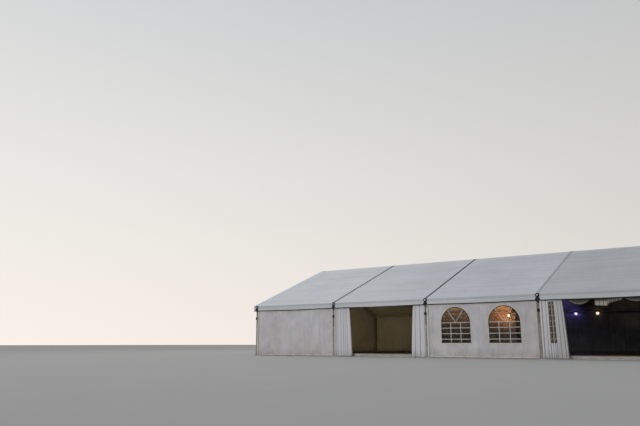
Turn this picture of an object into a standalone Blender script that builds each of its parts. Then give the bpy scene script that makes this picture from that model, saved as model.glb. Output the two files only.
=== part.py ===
# A clear-span marquee with a double-pitch roof: aluminium portal frames, PVC roof sheets,
# hanging walls, two doorways with their walls drawn aside, two arched windows and a floor.
# Metres, +Z up. The origin is on the ground in the middle of the plan, X runs along the
# ridge, and the front, with the doorways, faces -Y.

import math

import bpy
from mathutils import Vector

# Overall sizes
BAY_LENGTH = 5.0
BAY_COUNT = 5
SPAN = 12.8
EAVE_HEIGHT = 2.60
RIDGE_HEIGHT = 5.10

# Sheets
SHEET_THICKNESS = 0.008
VALANCE_DROP = 0.27
END_LAP = 0.12
TRACK_GAP = 0.09
WALL_SETBACK = 0.020
CLEAR_SHEET_THICKNESS = 0.004
LINING_THICKNESS = 0.006

# Aluminium profiles
LEG_WIDTH = 0.13
LEG_DEPTH = 0.20
LEG_TO_VALANCE = 0.012
BASE_PLATE_LENGTH = 0.32
BASE_PLATE_THICKNESS = 0.012
EAVE_CAP_WIDTH = 0.12
EAVE_CAP_THICKNESS = 0.030
EAVE_CAP_STEM = 0.05
EAVE_CAP_BELOW_FOLD = 0.02
CAP_ARC_STEPS = 12
BUCKLE_WIDTH = 0.07
BUCKLE_HEIGHT = 0.12
BUCKLE_DEPTH = 0.045
BUCKLE_BELOW_EAVE = 0.67
INSET = 0.005
RAFTER_DEPTH = 0.22
RAIL_DEPTH = 0.09
RAIL_HEIGHT = 0.194
PURLIN_WIDTH = 0.08
PURLIN_DEPTH = 0.06
RIDGE_PURLIN_WIDTH = 0.12
RIDGE_PURLIN_DEPTH = 0.12
UPPER_PURLIN_RUN = 2.25
LOWER_PURLIN_RUN = 4.45
GABLE_POST_WIDTH = 0.10
GABLE_POST_DEPTH = 0.09
GABLE_POST_OFFSET = 2.13
GABLE_PLATE_WIDTH = 0.24

# Arched windows
WINDOW_WIDTH = 1.37
WINDOW_SPACING = 2.16
WINDOW_SHIFT = -0.04
WINDOW_SILL = 0.62
WINDOW_HEAD_GAP = 0.215
WINDOW_ARC_STEPS = 24
CLEAR_SHEET_MARGIN = 0.05

# Walls drawn aside as curtains
LEFT_CURTAIN_WIDTH = 0.83
RIGHT_CURTAIN_WIDTH = 0.60
CURTAIN_FLARE = 0.20
CURTAIN_PLEAT = 0.13
CURTAIN_PLEAT_DEPTH = 0.08
STEPS_PER_PLEAT = 8

# Swagged pelmet in the second doorway, with gathered tails between its swags
PELMET_BAND = 0.12
PELMET_THICKNESS = 0.02
PELMET_GAP = 0.04
SWAG_PERIOD = 1.62
SWAG_WIDTH = 0.90
SWAG_DROP = 0.28
TAIL_WIDTH = 0.46
TAIL_DROP = 0.40
TAIL_OFFSET = -0.20
PELMET_STEPS = 80

# Floor and linings
FLOOR_HEIGHT = 0.14
LINED_BAYS = 3
LINING_GAP = 0.02

# The clearance between a piece and the piece it rests on or hangs from
SEAT = 0.0003

# Worked out from the sizes above
HALF_SPAN = SPAN / 2
HALF_LENGTH = BAY_LENGTH * BAY_COUNT / 2
RISE = RIDGE_HEIGHT - EAVE_HEIGHT
SLOPE = math.atan2(RISE, HALF_SPAN)
SHEET_RISE = SHEET_THICKNESS / math.cos(SLOPE)
SEAT_RISE = SEAT / math.cos(SLOPE)
RAFTER_APEX = RIDGE_HEIGHT - SHEET_RISE - SEAT_RISE
RAFTER_UNDERSIDE_APEX = RAFTER_APEX - RAFTER_DEPTH / math.cos(SLOPE)
LEG_FRONT = HALF_SPAN - SHEET_THICKNESS - LEG_TO_VALANCE
LEG_BACK = LEG_FRONT - LEG_DEPTH
RAIL_FRONT = HALF_SPAN - SHEET_THICKNESS - SEAT
RAIL_BACK = RAIL_FRONT - RAIL_DEPTH
RAIL_TOP = RAFTER_APEX - RAIL_FRONT * math.tan(SLOPE)
RAIL_BOTTOM = RAIL_TOP - RAIL_HEIGHT
CAP_BOTTOM = EAVE_HEIGHT - VALANCE_DROP - SEAT - EAVE_CAP_STEM
FRAME_END = HALF_LENGTH + LEG_WIDTH / 2
WALL_FRONT = LEG_FRONT - WALL_SETBACK
WALL_BACK = WALL_FRONT - SHEET_THICKNESS
WALL_BOTTOM = BASE_PLATE_THICKNESS + SEAT
WALL_TOP = RAIL_BOTTOM - SEAT
WINDOW_SPRING = WALL_TOP - WINDOW_HEAD_GAP - WINDOW_WIDTH / 2
FRONT = -1
BACK = 1

WHITE_PVC = ("white_pvc", (0.78, 0.79, 0.80), 0.45, 0.0)
ALUMINIUM = ("aluminium", (0.34, 0.34, 0.30), 0.42, 0.9)
CLEAR_PVC = ("clear_pvc", (0.80, 0.82, 0.82), 0.10, 0.0)
IVORY_CLOTH = ("ivory_cloth", (0.62, 0.58, 0.50), 0.80, 0.0)
DARK_CLOTH = ("dark_cloth", (0.02, 0.02, 0.03), 0.90, 0.0)
FLOOR_WOOD = ("floor_wood", (0.42, 0.39, 0.34), 0.60, 0.0)


def clear_scene():
    for item in list(bpy.data.objects):
        bpy.data.objects.remove(item, do_unlink=True)


def make_material(name, finish):
    label, colour, roughness, metallic = finish
    material = bpy.data.materials.new(f"{name}_{label}")
    material.use_nodes = True
    shader = material.node_tree.nodes["Principled BSDF"]
    shader.inputs["Base Color"].default_value = (*colour, 1.0)
    shader.inputs["Roughness"].default_value = roughness
    shader.inputs["Metallic"].default_value = metallic
    return material


def add_mesh(name, points, faces, finish):
    mesh = bpy.data.meshes.new(name)
    mesh.from_pydata(points, [], faces)
    mesh.validate()
    thing = bpy.data.objects.new(name, mesh)
    bpy.context.scene.collection.objects.link(thing)
    if finish:
        mesh.materials.append(make_material(name, finish))
    return thing


def signed_area(outline):
    total = 0.0
    for (a, b), (c, d) in zip(outline, outline[1:] + outline[:1]):
        total += a * d - b * c
    return total / 2


def loft(name, first, second, finish):
    """Joins two rings with the same number of points and closes both ends."""
    count = len(first)
    sides = [(i, (i + 1) % count, count + (i + 1) % count, count + i) for i in range(count)]
    caps = [tuple(reversed(range(count))), tuple(range(count, 2 * count))]
    return add_mesh(name, first + second, sides + caps, finish)


def prism_along_x(name, outline, start, end, finish):
    """Extrudes an outline of (y, z) points along X."""
    if signed_area(outline) < 0:
        outline = outline[::-1]
    first = [(start, y, z) for y, z in outline]
    second = [(end, y, z) for y, z in outline]
    return loft(name, first, second, finish)


def prism_along_y(name, outline, start, end, finish):
    """Extrudes an outline of (x, z) points along Y."""
    if signed_area(outline) > 0:
        outline = outline[::-1]
    low, high = min(start, end), max(start, end)
    first = [(x, low, z) for x, z in outline]
    second = [(x, high, z) for x, z in outline]
    return loft(name, first, second, finish)


def combine(target, helper, operation):
    helper.hide_render = True
    helper.display_type = "WIRE"
    modifier = target.modifiers.new(helper.name, "BOOLEAN")
    modifier.operation = operation
    modifier.object = helper


def cut(target, helper):
    combine(target, helper, "DIFFERENCE")


def join(target, helper):
    combine(target, helper, "UNION")


def rectangle(a_low, a_high, b_low, b_high):
    return [(a_low, b_low), (a_high, b_low), (a_high, b_high), (a_low, b_high)]


def frame_x(number):
    """The X of a portal frame, counted from 0 at the left gable."""
    return -HALF_LENGTH + number * BAY_LENGTH


def bay_limits(bay):
    """The clear width between the legs of a bay, counted from 1."""
    left = frame_x(bay - 1) + LEG_WIDTH / 2 + SEAT
    right = frame_x(bay) - LEG_WIDTH / 2 - SEAT
    return left, right


def on_slope(run, depth):
    """The (y, z) of a point on the back slope, from the top of the rafters' apex."""
    y = run * math.cos(SLOPE) - depth * math.sin(SLOPE)
    z = RAFTER_APEX - run * math.sin(SLOPE) - depth * math.cos(SLOPE)
    return y, z


def rafter_top(y):
    return RAFTER_APEX - abs(y) * math.tan(SLOPE)


def rafter_underside(y):
    return RAFTER_UNDERSIDE_APEX - abs(y) * math.tan(SLOPE)


def half_round(centre, height, radius, steps):
    """The arc of a round head, from its right end to its left end."""
    points = []
    for step in range(steps + 1):
        angle = math.pi * step / steps
        points.append((centre + radius * math.cos(angle), height + radius * math.sin(angle)))
    return points


def eave_cap(name, x, side):
    """A round-headed cap in front of the valances covers the end of the frame's corner."""
    radius = EAVE_CAP_WIDTH / 2
    head = EAVE_HEIGHT - EAVE_CAP_BELOW_FOLD - radius
    outline = [(x - radius, CAP_BOTTOM), (x + radius, CAP_BOTTOM)]
    outline += half_round(x, head, radius, CAP_ARC_STEPS)
    inner = HALF_SPAN + SEAT
    outer = inner + EAVE_CAP_THICKNESS
    return prism_along_y(f"{name}_cap", outline, side * outer, side * inner, None)


def eave_cap_stem(name, x, side):
    """The stem under the valance that carries the cap from the leg's face."""
    radius = EAVE_CAP_WIDTH / 2
    outline = rectangle(x - radius, x + radius, CAP_BOTTOM, CAP_BOTTOM + EAVE_CAP_STEM)
    outer = HALF_SPAN + SEAT + EAVE_CAP_THICKNESS / 2
    return prism_along_y(f"{name}_stem", outline, side * outer, side * (LEG_FRONT - INSET), None)


def wall_buckle(name, x, side):
    """The buckle on the leg's face that tightens the wall's strap."""
    half = BUCKLE_WIDTH / 2
    middle = EAVE_HEIGHT - BUCKLE_BELOW_EAVE
    outline = rectangle(x - half, x + half, middle - BUCKLE_HEIGHT / 2, middle + BUCKLE_HEIGHT / 2)
    outer = side * (LEG_FRONT + BUCKLE_DEPTH)
    return prism_along_y(f"{name}_buckle", outline, outer, side * (LEG_FRONT - INSET), None)


def add_legs():
    half_plate = BASE_PLATE_LENGTH / 2
    half_leg = LEG_WIDTH / 2
    for side, label in ((FRONT, "front"), (BACK, "back")):
        for number in range(BAY_COUNT + 1):
            x = frame_x(number)
            outline = [
                (x - half_plate, 0.0),
                (x + half_plate, 0.0),
                (x + half_plate, BASE_PLATE_THICKNESS),
                (x + half_leg, BASE_PLATE_THICKNESS),
                (x + half_leg, WALL_TOP),
                (x - half_leg, WALL_TOP),
                (x - half_leg, BASE_PLATE_THICKNESS),
                (x - half_plate, BASE_PLATE_THICKNESS),
            ]
            name = f"{label}_leg_{number + 1}"
            leg = prism_along_y(name, outline, side * LEG_FRONT, side * LEG_BACK, ALUMINIUM)
            join(leg, eave_cap(name, x, side))
            join(leg, eave_cap_stem(name, x, side))
            join(leg, wall_buckle(name, x, side))


def purlin_notch(run):
    """The corners of the notch that takes a purlin, from the ridge side down."""
    near = run - PURLIN_WIDTH / 2 - SEAT
    far = run + PURLIN_WIDTH / 2 + SEAT
    depth = PURLIN_DEPTH + SEAT
    return [on_slope(near, 0), on_slope(near, depth), on_slope(far, depth), on_slope(far, 0)]


def rafter_outline():
    """Half a rafter pair: the notched top, the foot on the leg and the underside."""
    notch = RIDGE_PURLIN_WIDTH / 2 + SEAT
    foot_outer = RAIL_BACK - SEAT
    notch_bottom = RAFTER_APEX - RIDGE_PURLIN_DEPTH - SEAT
    top = [(0.0, notch_bottom), (notch, notch_bottom), (notch, rafter_top(notch))]
    top += purlin_notch(UPPER_PURLIN_RUN)
    top += purlin_notch(LOWER_PURLIN_RUN)
    top.append((foot_outer, rafter_top(foot_outer)))
    foot = [(foot_outer, RAIL_BOTTOM), (LEG_BACK, RAIL_BOTTOM)]
    underside = [(LEG_BACK, rafter_underside(LEG_BACK)), (0.0, RAFTER_UNDERSIDE_APEX)]
    back = top + foot + underside
    front = [(-y, z) for y, z in reversed(back[1:-1])]
    return back + front


def add_rafter_pairs():
    outline = rafter_outline()
    for number in range(BAY_COUNT + 1):
        x = frame_x(number)
        name = f"rafter_pair_{number + 1}"
        prism_along_x(name, outline, x - LEG_WIDTH / 2, x + LEG_WIDTH / 2, ALUMINIUM)


def add_purlins():
    half = RIDGE_PURLIN_WIDTH / 2
    bottom = RAFTER_APEX - RIDGE_PURLIN_DEPTH
    ridge = [(-half, bottom), (half, bottom), (half, rafter_top(half))]
    ridge += [(0.0, RAFTER_APEX), (-half, rafter_top(half))]
    prism_along_x("ridge_purlin", ridge, -FRAME_END, FRAME_END, ALUMINIUM)
    for run, level in ((UPPER_PURLIN_RUN, "upper"), (LOWER_PURLIN_RUN, "lower")):
        near = run - PURLIN_WIDTH / 2
        far = run + PURLIN_WIDTH / 2
        corners = [
            on_slope(near, 0),
            on_slope(near, PURLIN_DEPTH),
            on_slope(far, PURLIN_DEPTH),
            on_slope(far, 0),
        ]
        for side, label in ((FRONT, "front"), (BACK, "back")):
            outline = [(side * y, z) for y, z in corners]
            name = f"{label}_purlin_{level}"
            prism_along_x(name, outline, -FRAME_END, FRAME_END, ALUMINIUM)


def add_eave_rails():
    for side, label in ((FRONT, "front"), (BACK, "back")):
        outline = [
            (side * RAIL_BACK, RAIL_BOTTOM),
            (side * RAIL_FRONT, RAIL_BOTTOM),
            (side * RAIL_FRONT, RAIL_TOP),
            (side * RAIL_BACK, RAIL_TOP),
        ]
        prism_along_x(f"{label}_eave_rail", outline, -FRAME_END, FRAME_END, ALUMINIUM)


def sheet_outline():
    """The roof sheet over the ridge, with a valance hanging at each eave."""
    valance_bottom = EAVE_HEIGHT - VALANCE_DROP
    inner = HALF_SPAN - SHEET_THICKNESS
    inner_corner = RIDGE_HEIGHT - SHEET_RISE - inner * math.tan(SLOPE)
    return [
        (-HALF_SPAN, valance_bottom),
        (-HALF_SPAN, EAVE_HEIGHT),
        (0.0, RIDGE_HEIGHT),
        (HALF_SPAN, EAVE_HEIGHT),
        (HALF_SPAN, valance_bottom),
        (inner, valance_bottom),
        (inner, inner_corner),
        (0.0, RIDGE_HEIGHT - SHEET_RISE),
        (-inner, inner_corner),
        (-inner, valance_bottom),
    ]


def flap_outline():
    """The band of an end sheet that is turned down in front of the gable's rafters."""
    return [
        (-HALF_SPAN, EAVE_HEIGHT - VALANCE_DROP),
        (-HALF_SPAN, EAVE_HEIGHT),
        (0.0, RIDGE_HEIGHT),
        (HALF_SPAN, EAVE_HEIGHT),
        (HALF_SPAN, EAVE_HEIGHT - VALANCE_DROP),
        (0.0, RIDGE_HEIGHT - VALANCE_DROP),
    ]


def add_roof_sheets():
    """One sheet covers each bay, and the end sheets run past the gables' rafters to a flap."""
    flap_inner = FRAME_END + END_LAP
    flap_outer = flap_inner + SHEET_THICKNESS
    for bay in range(1, BAY_COUNT + 1):
        start = frame_x(bay - 1) + TRACK_GAP / 2
        end = frame_x(bay) - TRACK_GAP / 2
        if bay == 1:
            start = -flap_outer
        if bay == BAY_COUNT:
            end = flap_outer
        sheet = prism_along_x(f"roof_sheet_{bay}", sheet_outline(), start, end, WHITE_PVC)
        if bay == 1:
            join(sheet, prism_along_x("left_flap", flap_outline(), -flap_outer, -flap_inner, None))
        if bay == BAY_COUNT:
            join(sheet, prism_along_x("right_flap", flap_outline(), flap_inner, flap_outer, None))


def add_plain_wall(name, bay, side):
    left, right = bay_limits(bay)
    outline = rectangle(left, right, WALL_BOTTOM, WALL_TOP)
    return prism_along_y(name, outline, side * WALL_FRONT, side * WALL_BACK, WHITE_PVC)


def window_centres(bay):
    middle = (frame_x(bay - 1) + frame_x(bay)) / 2 + WINDOW_SHIFT
    return middle - WINDOW_SPACING / 2, middle + WINDOW_SPACING / 2


def arch_outline(centre):
    """A window with a straight sill and sides and a half-round head."""
    radius = WINDOW_WIDTH / 2
    outline = [(centre - radius, WINDOW_SILL), (centre + radius, WINDOW_SILL)]
    return outline + half_round(centre, WINDOW_SPRING, radius, WINDOW_ARC_STEPS)


def add_window_wall(label, bay, side):
    wall = add_plain_wall(f"{label}_window_wall_{bay}", bay, side)
    for number, centre in enumerate(window_centres(bay)):
        outline = arch_outline(centre)
        start = side * (WALL_FRONT + SHEET_THICKNESS)
        end = side * (WALL_BACK - SHEET_THICKNESS)
        cutter = prism_along_y(f"{label}_window_cutter_{number}", outline, start, end, None)
        cut(wall, cutter)


def add_clear_sheet(label, bay, side):
    """One clear sheet closes both windows of a wall from the inside."""
    first, second = window_centres(bay)
    reach = WINDOW_WIDTH / 2 + CLEAR_SHEET_MARGIN
    crown = WINDOW_SPRING + WINDOW_WIDTH / 2 + CLEAR_SHEET_MARGIN
    outline = rectangle(first - reach, second + reach, WINDOW_SILL - CLEAR_SHEET_MARGIN, crown)
    outer = side * (WALL_BACK - SEAT)
    inner = side * (WALL_BACK - SEAT - CLEAR_SHEET_THICKNESS)
    prism_along_y(f"{label}_window_sheet_{bay}", outline, outer, inner, CLEAR_PVC)


def pleated_ring(start, direction, width, height, pleats):
    """The plan of a gathered wall at one height, as a closed ring of points."""
    middle = -(WALL_FRONT - CURTAIN_PLEAT_DEPTH / 2)
    swing = (CURTAIN_PLEAT_DEPTH - SHEET_THICKNESS) / 2
    count = pleats * STEPS_PER_PLEAT
    outer = []
    inner = []
    for step in range(count + 1):
        share = step / count
        turn = 2 * math.pi * pleats * share
        centre = Vector((start + direction * width * share, middle - swing * math.cos(turn)))
        along = Vector((direction * width, swing * 2 * math.pi * pleats * math.sin(turn)))
        across = Vector((-along.y, along.x)).normalized() * SHEET_THICKNESS / 2
        outer.append(centre - across)
        inner.append(centre + across)
    ring = outer + inner[::-1]
    return [(point.x, point.y, height) for point in ring]


def add_curtain(name, start, direction, width):
    """A wall drawn aside hangs in pleats from the eave rail and spreads towards the ground."""
    pleats = max(1, round(width / CURTAIN_PLEAT))
    top = pleated_ring(start, direction, width, WALL_TOP, pleats)
    bottom = pleated_ring(start, direction, width + CURTAIN_FLARE, WALL_BOTTOM, pleats)
    return loft(name, bottom, top, WHITE_PVC)


def add_doorway(bay):
    left, right = bay_limits(bay)
    add_curtain(f"front_curtain_{bay}_left", left, 1, LEFT_CURTAIN_WIDTH)
    add_curtain(f"front_curtain_{bay}_right", right, -1, RIGHT_CURTAIN_WIDTH)


def pelmet_drop(x, tail_x):
    """How far the pelmet's lower edge hangs below the eave rail at a place along the bay."""
    along = (x - tail_x) / SWAG_PERIOD
    from_tail = abs(along - round(along)) * SWAG_PERIOD
    from_swag = SWAG_PERIOD / 2 - from_tail
    if from_tail < TAIL_WIDTH / 2:
        return TAIL_DROP
    if from_swag < SWAG_WIDTH / 2:
        arc = math.cos(math.pi * from_swag / SWAG_WIDTH)
        return PELMET_BAND + (SWAG_DROP - PELMET_BAND) * arc
    return PELMET_BAND


def add_pelmet(bay):
    """A strip of lining hangs in swags from the eave rail between the curtains."""
    left, right = bay_limits(bay)
    start = left + LEFT_CURTAIN_WIDTH + PELMET_GAP
    end = right - RIGHT_CURTAIN_WIDTH - PELMET_GAP
    tail_x = (left + right) / 2 + TAIL_OFFSET
    outline = [(end, WALL_TOP), (start, WALL_TOP)]
    for step in range(PELMET_STEPS + 1):
        x = start + (end - start) * step / PELMET_STEPS
        outline.append((x, WALL_TOP - pelmet_drop(x, tail_x)))
    middle = -(RAIL_FRONT + RAIL_BACK) / 2
    prism_along_y(
        f"door_pelmet_{bay}",
        outline,
        middle - PELMET_THICKNESS / 2,
        middle + PELMET_THICKNESS / 2,
        IVORY_CLOTH,
    )


def add_gable(label, end):
    """The gable's sheet fills the end frame, in front of two posts."""
    outer = LEG_BACK - SEAT
    top = SEAT_RISE
    sheet = [
        (-outer, WALL_BOTTOM),
        (outer, WALL_BOTTOM),
        (outer, rafter_underside(outer) - top),
        (0.0, RAFTER_UNDERSIDE_APEX - top),
        (-outer, rafter_underside(outer) - top),
    ]
    face = LEG_WIDTH / 2 - WALL_SETBACK
    gable_x = end * HALF_LENGTH
    sheet_out = gable_x + end * face
    sheet_in = sheet_out - end * SHEET_THICKNESS
    low, high = min(sheet_out, sheet_in), max(sheet_out, sheet_in)
    prism_along_x(f"{label}_gable_sheet", sheet, low, high, WHITE_PVC)
    post_out = sheet_in - end * SEAT
    post_in = post_out - end * GABLE_POST_DEPTH
    low, high = min(post_out, post_in), max(post_out, post_in)
    for side, place in ((FRONT, "front"), (BACK, "back")):
        middle = side * GABLE_POST_OFFSET
        left, right = middle - GABLE_POST_WIDTH / 2, middle + GABLE_POST_WIDTH / 2
        plate_left = middle - GABLE_PLATE_WIDTH / 2
        plate_right = middle + GABLE_PLATE_WIDTH / 2
        post = [
            (plate_left, 0.0),
            (plate_right, 0.0),
            (plate_right, BASE_PLATE_THICKNESS),
            (right, BASE_PLATE_THICKNESS),
            (right, rafter_underside(right) - top),
            (left, rafter_underside(left) - top),
            (left, BASE_PLATE_THICKNESS),
            (plate_left, BASE_PLATE_THICKNESS),
        ]
        prism_along_x(f"{label}_gable_post_{place}", post, low, high, ALUMINIUM)


def inside_end():
    """The X where the floor and the linings stop, clear of the gable's posts and legs."""
    post_inner = FRAME_END - WALL_SETBACK - SHEET_THICKNESS - SEAT - GABLE_POST_DEPTH
    return min(post_inner, HALF_LENGTH - LEG_WIDTH / 2) - SEAT


def add_floor():
    half_width = LEG_BACK - SEAT
    outline = rectangle(-half_width, half_width, 0.0, FLOOR_HEIGHT)
    prism_along_x("floor", outline, -inside_end(), inside_end(), FLOOR_WOOD)


def add_linings():
    """Dark cloth lines the back wall and the roof over the right-hand bays."""
    wall_start = frame_x(BAY_COUNT - LINED_BAYS)
    outer = LEG_BACK - SEAT
    lining_top = WALL_TOP - LINING_GAP
    wall = rectangle(outer - LINING_THICKNESS, outer, FLOOR_HEIGHT + SEAT, lining_top)
    prism_along_x("dark_wall_lining", wall, wall_start, inside_end(), DARK_CLOTH)
    top = SEAT_RISE
    bottom = SEAT_RISE + LINING_THICKNESS / math.cos(SLOPE)
    roof = [
        (-outer, rafter_underside(outer) - bottom),
        (-outer, rafter_underside(outer) - top),
        (0.0, RAFTER_UNDERSIDE_APEX - top),
        (outer, rafter_underside(outer) - top),
        (outer, rafter_underside(outer) - bottom),
        (0.0, RAFTER_UNDERSIDE_APEX - bottom),
    ]
    roof_start = frame_x(BAY_COUNT - LINED_BAYS) - LEG_WIDTH / 2
    prism_along_x("dark_roof_lining", roof, roof_start, inside_end(), DARK_CLOTH)


def main():
    clear_scene()
    add_legs()
    add_rafter_pairs()
    add_purlins()
    add_eave_rails()
    add_roof_sheets()
    add_plain_wall("front_wall_1", 1, FRONT)
    add_doorway(2)
    add_window_wall("front", 3, FRONT)
    add_clear_sheet("front", 3, FRONT)
    add_doorway(4)
    add_pelmet(4)
    add_plain_wall("front_wall_5", 5, FRONT)
    for bay in (1, 2, 4, 5):
        add_plain_wall(f"back_wall_{bay}", bay, BACK)
    add_window_wall("back", 3, BACK)
    add_clear_sheet("back", 3, BACK)
    add_gable("left", -1)
    add_gable("right", 1)
    add_floor()
    add_linings()


main()
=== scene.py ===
# The looks of the marquee tent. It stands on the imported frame, in metres, +Z up: the ridge runs
# along X, the front faces -Y, and the end bay at the left of the picture is at -X.

import math
import random

import bpy
import numpy as np
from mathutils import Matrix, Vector
from mathutils.geometry import delaunay_2d_cdt


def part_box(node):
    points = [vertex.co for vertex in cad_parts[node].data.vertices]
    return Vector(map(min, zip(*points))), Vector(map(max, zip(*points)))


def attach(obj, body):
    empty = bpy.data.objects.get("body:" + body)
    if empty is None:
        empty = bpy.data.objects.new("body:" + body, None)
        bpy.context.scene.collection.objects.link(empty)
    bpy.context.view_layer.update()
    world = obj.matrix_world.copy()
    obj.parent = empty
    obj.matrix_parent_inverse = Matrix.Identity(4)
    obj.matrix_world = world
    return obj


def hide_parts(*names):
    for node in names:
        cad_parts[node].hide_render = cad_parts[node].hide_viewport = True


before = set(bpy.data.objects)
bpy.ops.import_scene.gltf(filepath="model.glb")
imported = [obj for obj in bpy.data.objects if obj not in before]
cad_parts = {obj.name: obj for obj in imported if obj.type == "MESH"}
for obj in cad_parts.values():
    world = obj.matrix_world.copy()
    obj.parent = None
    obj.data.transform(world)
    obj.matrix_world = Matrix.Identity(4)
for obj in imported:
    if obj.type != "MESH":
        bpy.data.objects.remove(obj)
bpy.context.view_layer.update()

BAY_COUNT = 5
BAYS = range(1, BAY_COUNT + 1)
FRONT = -1
BACK = 1
SIDES = ((FRONT, "front"), (BACK, "back"))
ENDS = ((-1, "left"), (1, "right"))


def low_corner(node):
    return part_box(node)[0]


def high_corner(node):
    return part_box(node)[1]


def middle_x(node):
    return ((low_corner(node) + high_corner(node)) / 2).x


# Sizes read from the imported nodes
FRAME_X = [middle_x(f"front_leg_{number}") for number in range(1, BAY_COUNT + 2)]
HALF_SPAN = high_corner("roof_sheet_3").y
RIDGE_HEIGHT = high_corner("roof_sheet_3").z
VALANCE_BOTTOM = low_corner("roof_sheet_3").z
WALL_FRONT = -low_corner("front_wall_1").y
WALL_BACK = -high_corner("front_wall_1").y
WALL_BOTTOM = low_corner("front_wall_1").z
WALL_TOP = high_corner("front_wall_1").z
WALL_HEIGHT = WALL_TOP - WALL_BOTTOM
RAIL_BACK = -high_corner("front_eave_rail").y

# Sizes of the frame that no box gives
EAVE_HEIGHT = 2.60
LEG_WIDTH = 0.13
LEG_DEPTH = 0.20
LEG_FRONT = 6.38
PLATE_THICKNESS = 0.012
RAFTER_UNDERSIDE_APEX = 4.855
SLOPE = math.atan2(RIDGE_HEIGHT - EAVE_HEIGHT, HALF_SPAN)
SLOPE_LENGTH = HALF_SPAN / math.cos(SLOPE)
PURLIN_RUNS = (2.25, 4.45)

# Roof cloth
SHEET = 0.003
THIN_SHEET = 0.002
FILM_SHEET = 0.0015
TRACK_GAP = 0.09
TRACK_END = 0.45
RIDGE_ROUND = 0.025
EAVE_ROUND = 0.030
SLOPE_SAG = 0.030
WRINKLE_DEPTH = 0.0035
VALANCE_DROP = EAVE_HEIGHT - VALANCE_BOTTOM
VALANCE_UPPER = 0.105
VALANCE_WELD = EAVE_HEIGHT - VALANCE_UPPER
VALANCE_FLARE = 0.034
VALANCE_WAVE = 0.007
HEM_SAG = 0.020
HEM_TAPE = 0.039
HEM_ROWS = 3
HEM_OUT = 0.0055
HEM_DROP = 0.016
END_FOLD = 0.022
RIDGE_STEPS = 4
SLOPE_STEPS = 14
FOLD_STEPS = 6
VALANCE_STEPS = 14
ROOF_COLUMNS = 44

# Eave caps and straps
CAP_OFFSET = -0.013
CAP_FACE = HALF_SPAN + 0.018
BOSS_OFFSET = -0.012
BOSS_RADIUS = 0.036
RING_RADIUS = 0.058
RING_TUBE = 0.025
CAP_HEAD = EAVE_HEIGHT + 0.024 - RING_RADIUS - RING_TUBE
STRAP_OFFSET = -0.024
BUCKLE_HEIGHT = 1.93

# Walls
WALL_LAP = 0.004
EDGE_STRIP_WIDTH = 0.024
BAND_WIDTH = 0.05
EYELET_COUNT = 10
FLAP_START = 0.026
LATE_FLAP_BAY = 4
LATE_FLAP_START = 0.048
FLAP_WIDTH = 0.070
FLAP_TOP = WALL_TOP - 0.03

# Windows
WINDOW_WIDTH = 1.37
WINDOW_HALF = WINDOW_WIDTH / 2
WINDOW_SPACING = 2.16
WINDOW_SHIFT = -0.04
WINDOW_SILL = 0.62
WINDOW_SPRING = 1.50
MESH_STEP = 0.055
BAR_WIDTH = 0.028
FAN_WIDTH = 0.022
BAR_OFFSET = 0.23
BAR_HEIGHTS = (1.27, 1.03, 0.79)
FAN_ANGLE = math.radians(33)
TRIM_WIDTH = 0.040
TRIM_INSIDE = TRIM_WIDTH * 0.2
EDGE_SHADE_WIDTH = 0.030


# Mesh helpers

def add_to_scene(thing):
    bpy.context.scene.collection.objects.link(thing)


def new_piece(mesh, materials, nodes=()):
    piece = bpy.data.objects.new(mesh.name, mesh)
    add_to_scene(piece)
    for material in materials:
        mesh.materials.append(material)
    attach(piece, "root")
    if nodes:
        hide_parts(*nodes)
    return piece


def soft_piece(mesh, materials, flat, rests_on, nodes=(), thickness=SHEET):
    """A piece of cloth or film: a thin mesh that gets its thickness."""
    piece = new_piece(mesh, materials, nodes)
    modifier = piece.modifiers.new("thickness", "SOLIDIFY")
    modifier.thickness = thickness
    modifier.offset = -1.0


def mesh_from(name, points, faces, smooth=True):
    mesh = bpy.data.meshes.new(name)
    mesh.from_pydata([tuple(point) for point in points], [], [tuple(face) for face in faces])
    mesh.validate()
    if smooth:
        mesh.shade_smooth()
    return mesh


def points_at(x, y, z):
    """An array of points; each coordinate is an array or one number."""
    return np.stack(np.broadcast_arrays(x, y, z), axis=-1)


def grid_faces(grid, flip):
    rows, columns = grid.shape[:2]
    index = np.arange(rows * columns).reshape(rows, columns)
    corners = [index[:-1, :-1], index[:-1, 1:], index[1:, 1:], index[1:, :-1]]
    if flip:
        corners.reverse()
    return np.stack(corners, axis=-1).reshape(-1, 4).tolist()


def grid_mesh(name, rows, flip=False):
    """A sheet of quads through rows of points."""
    grid = np.array(rows)
    return mesh_from(name, grid.reshape(-1, 3).tolist(), grid_faces(grid, flip))


def round_points(centre, radius, start, end, steps):
    """Points of an arc around a centre, from one angle to another."""
    points = []
    for step in range(steps + 1):
        angle = start + (end - start) * step / steps
        points.append((centre[0] + radius * math.cos(angle), centre[1] + radius * math.sin(angle)))
    return points


def disc(centre, radius, steps):
    return round_points(centre, radius, 0.0, 2 * math.pi, steps)[:-1]


def rectangle(left, right, low, high):
    return [(left, low), (right, low), (right, high), (left, high)]


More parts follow.
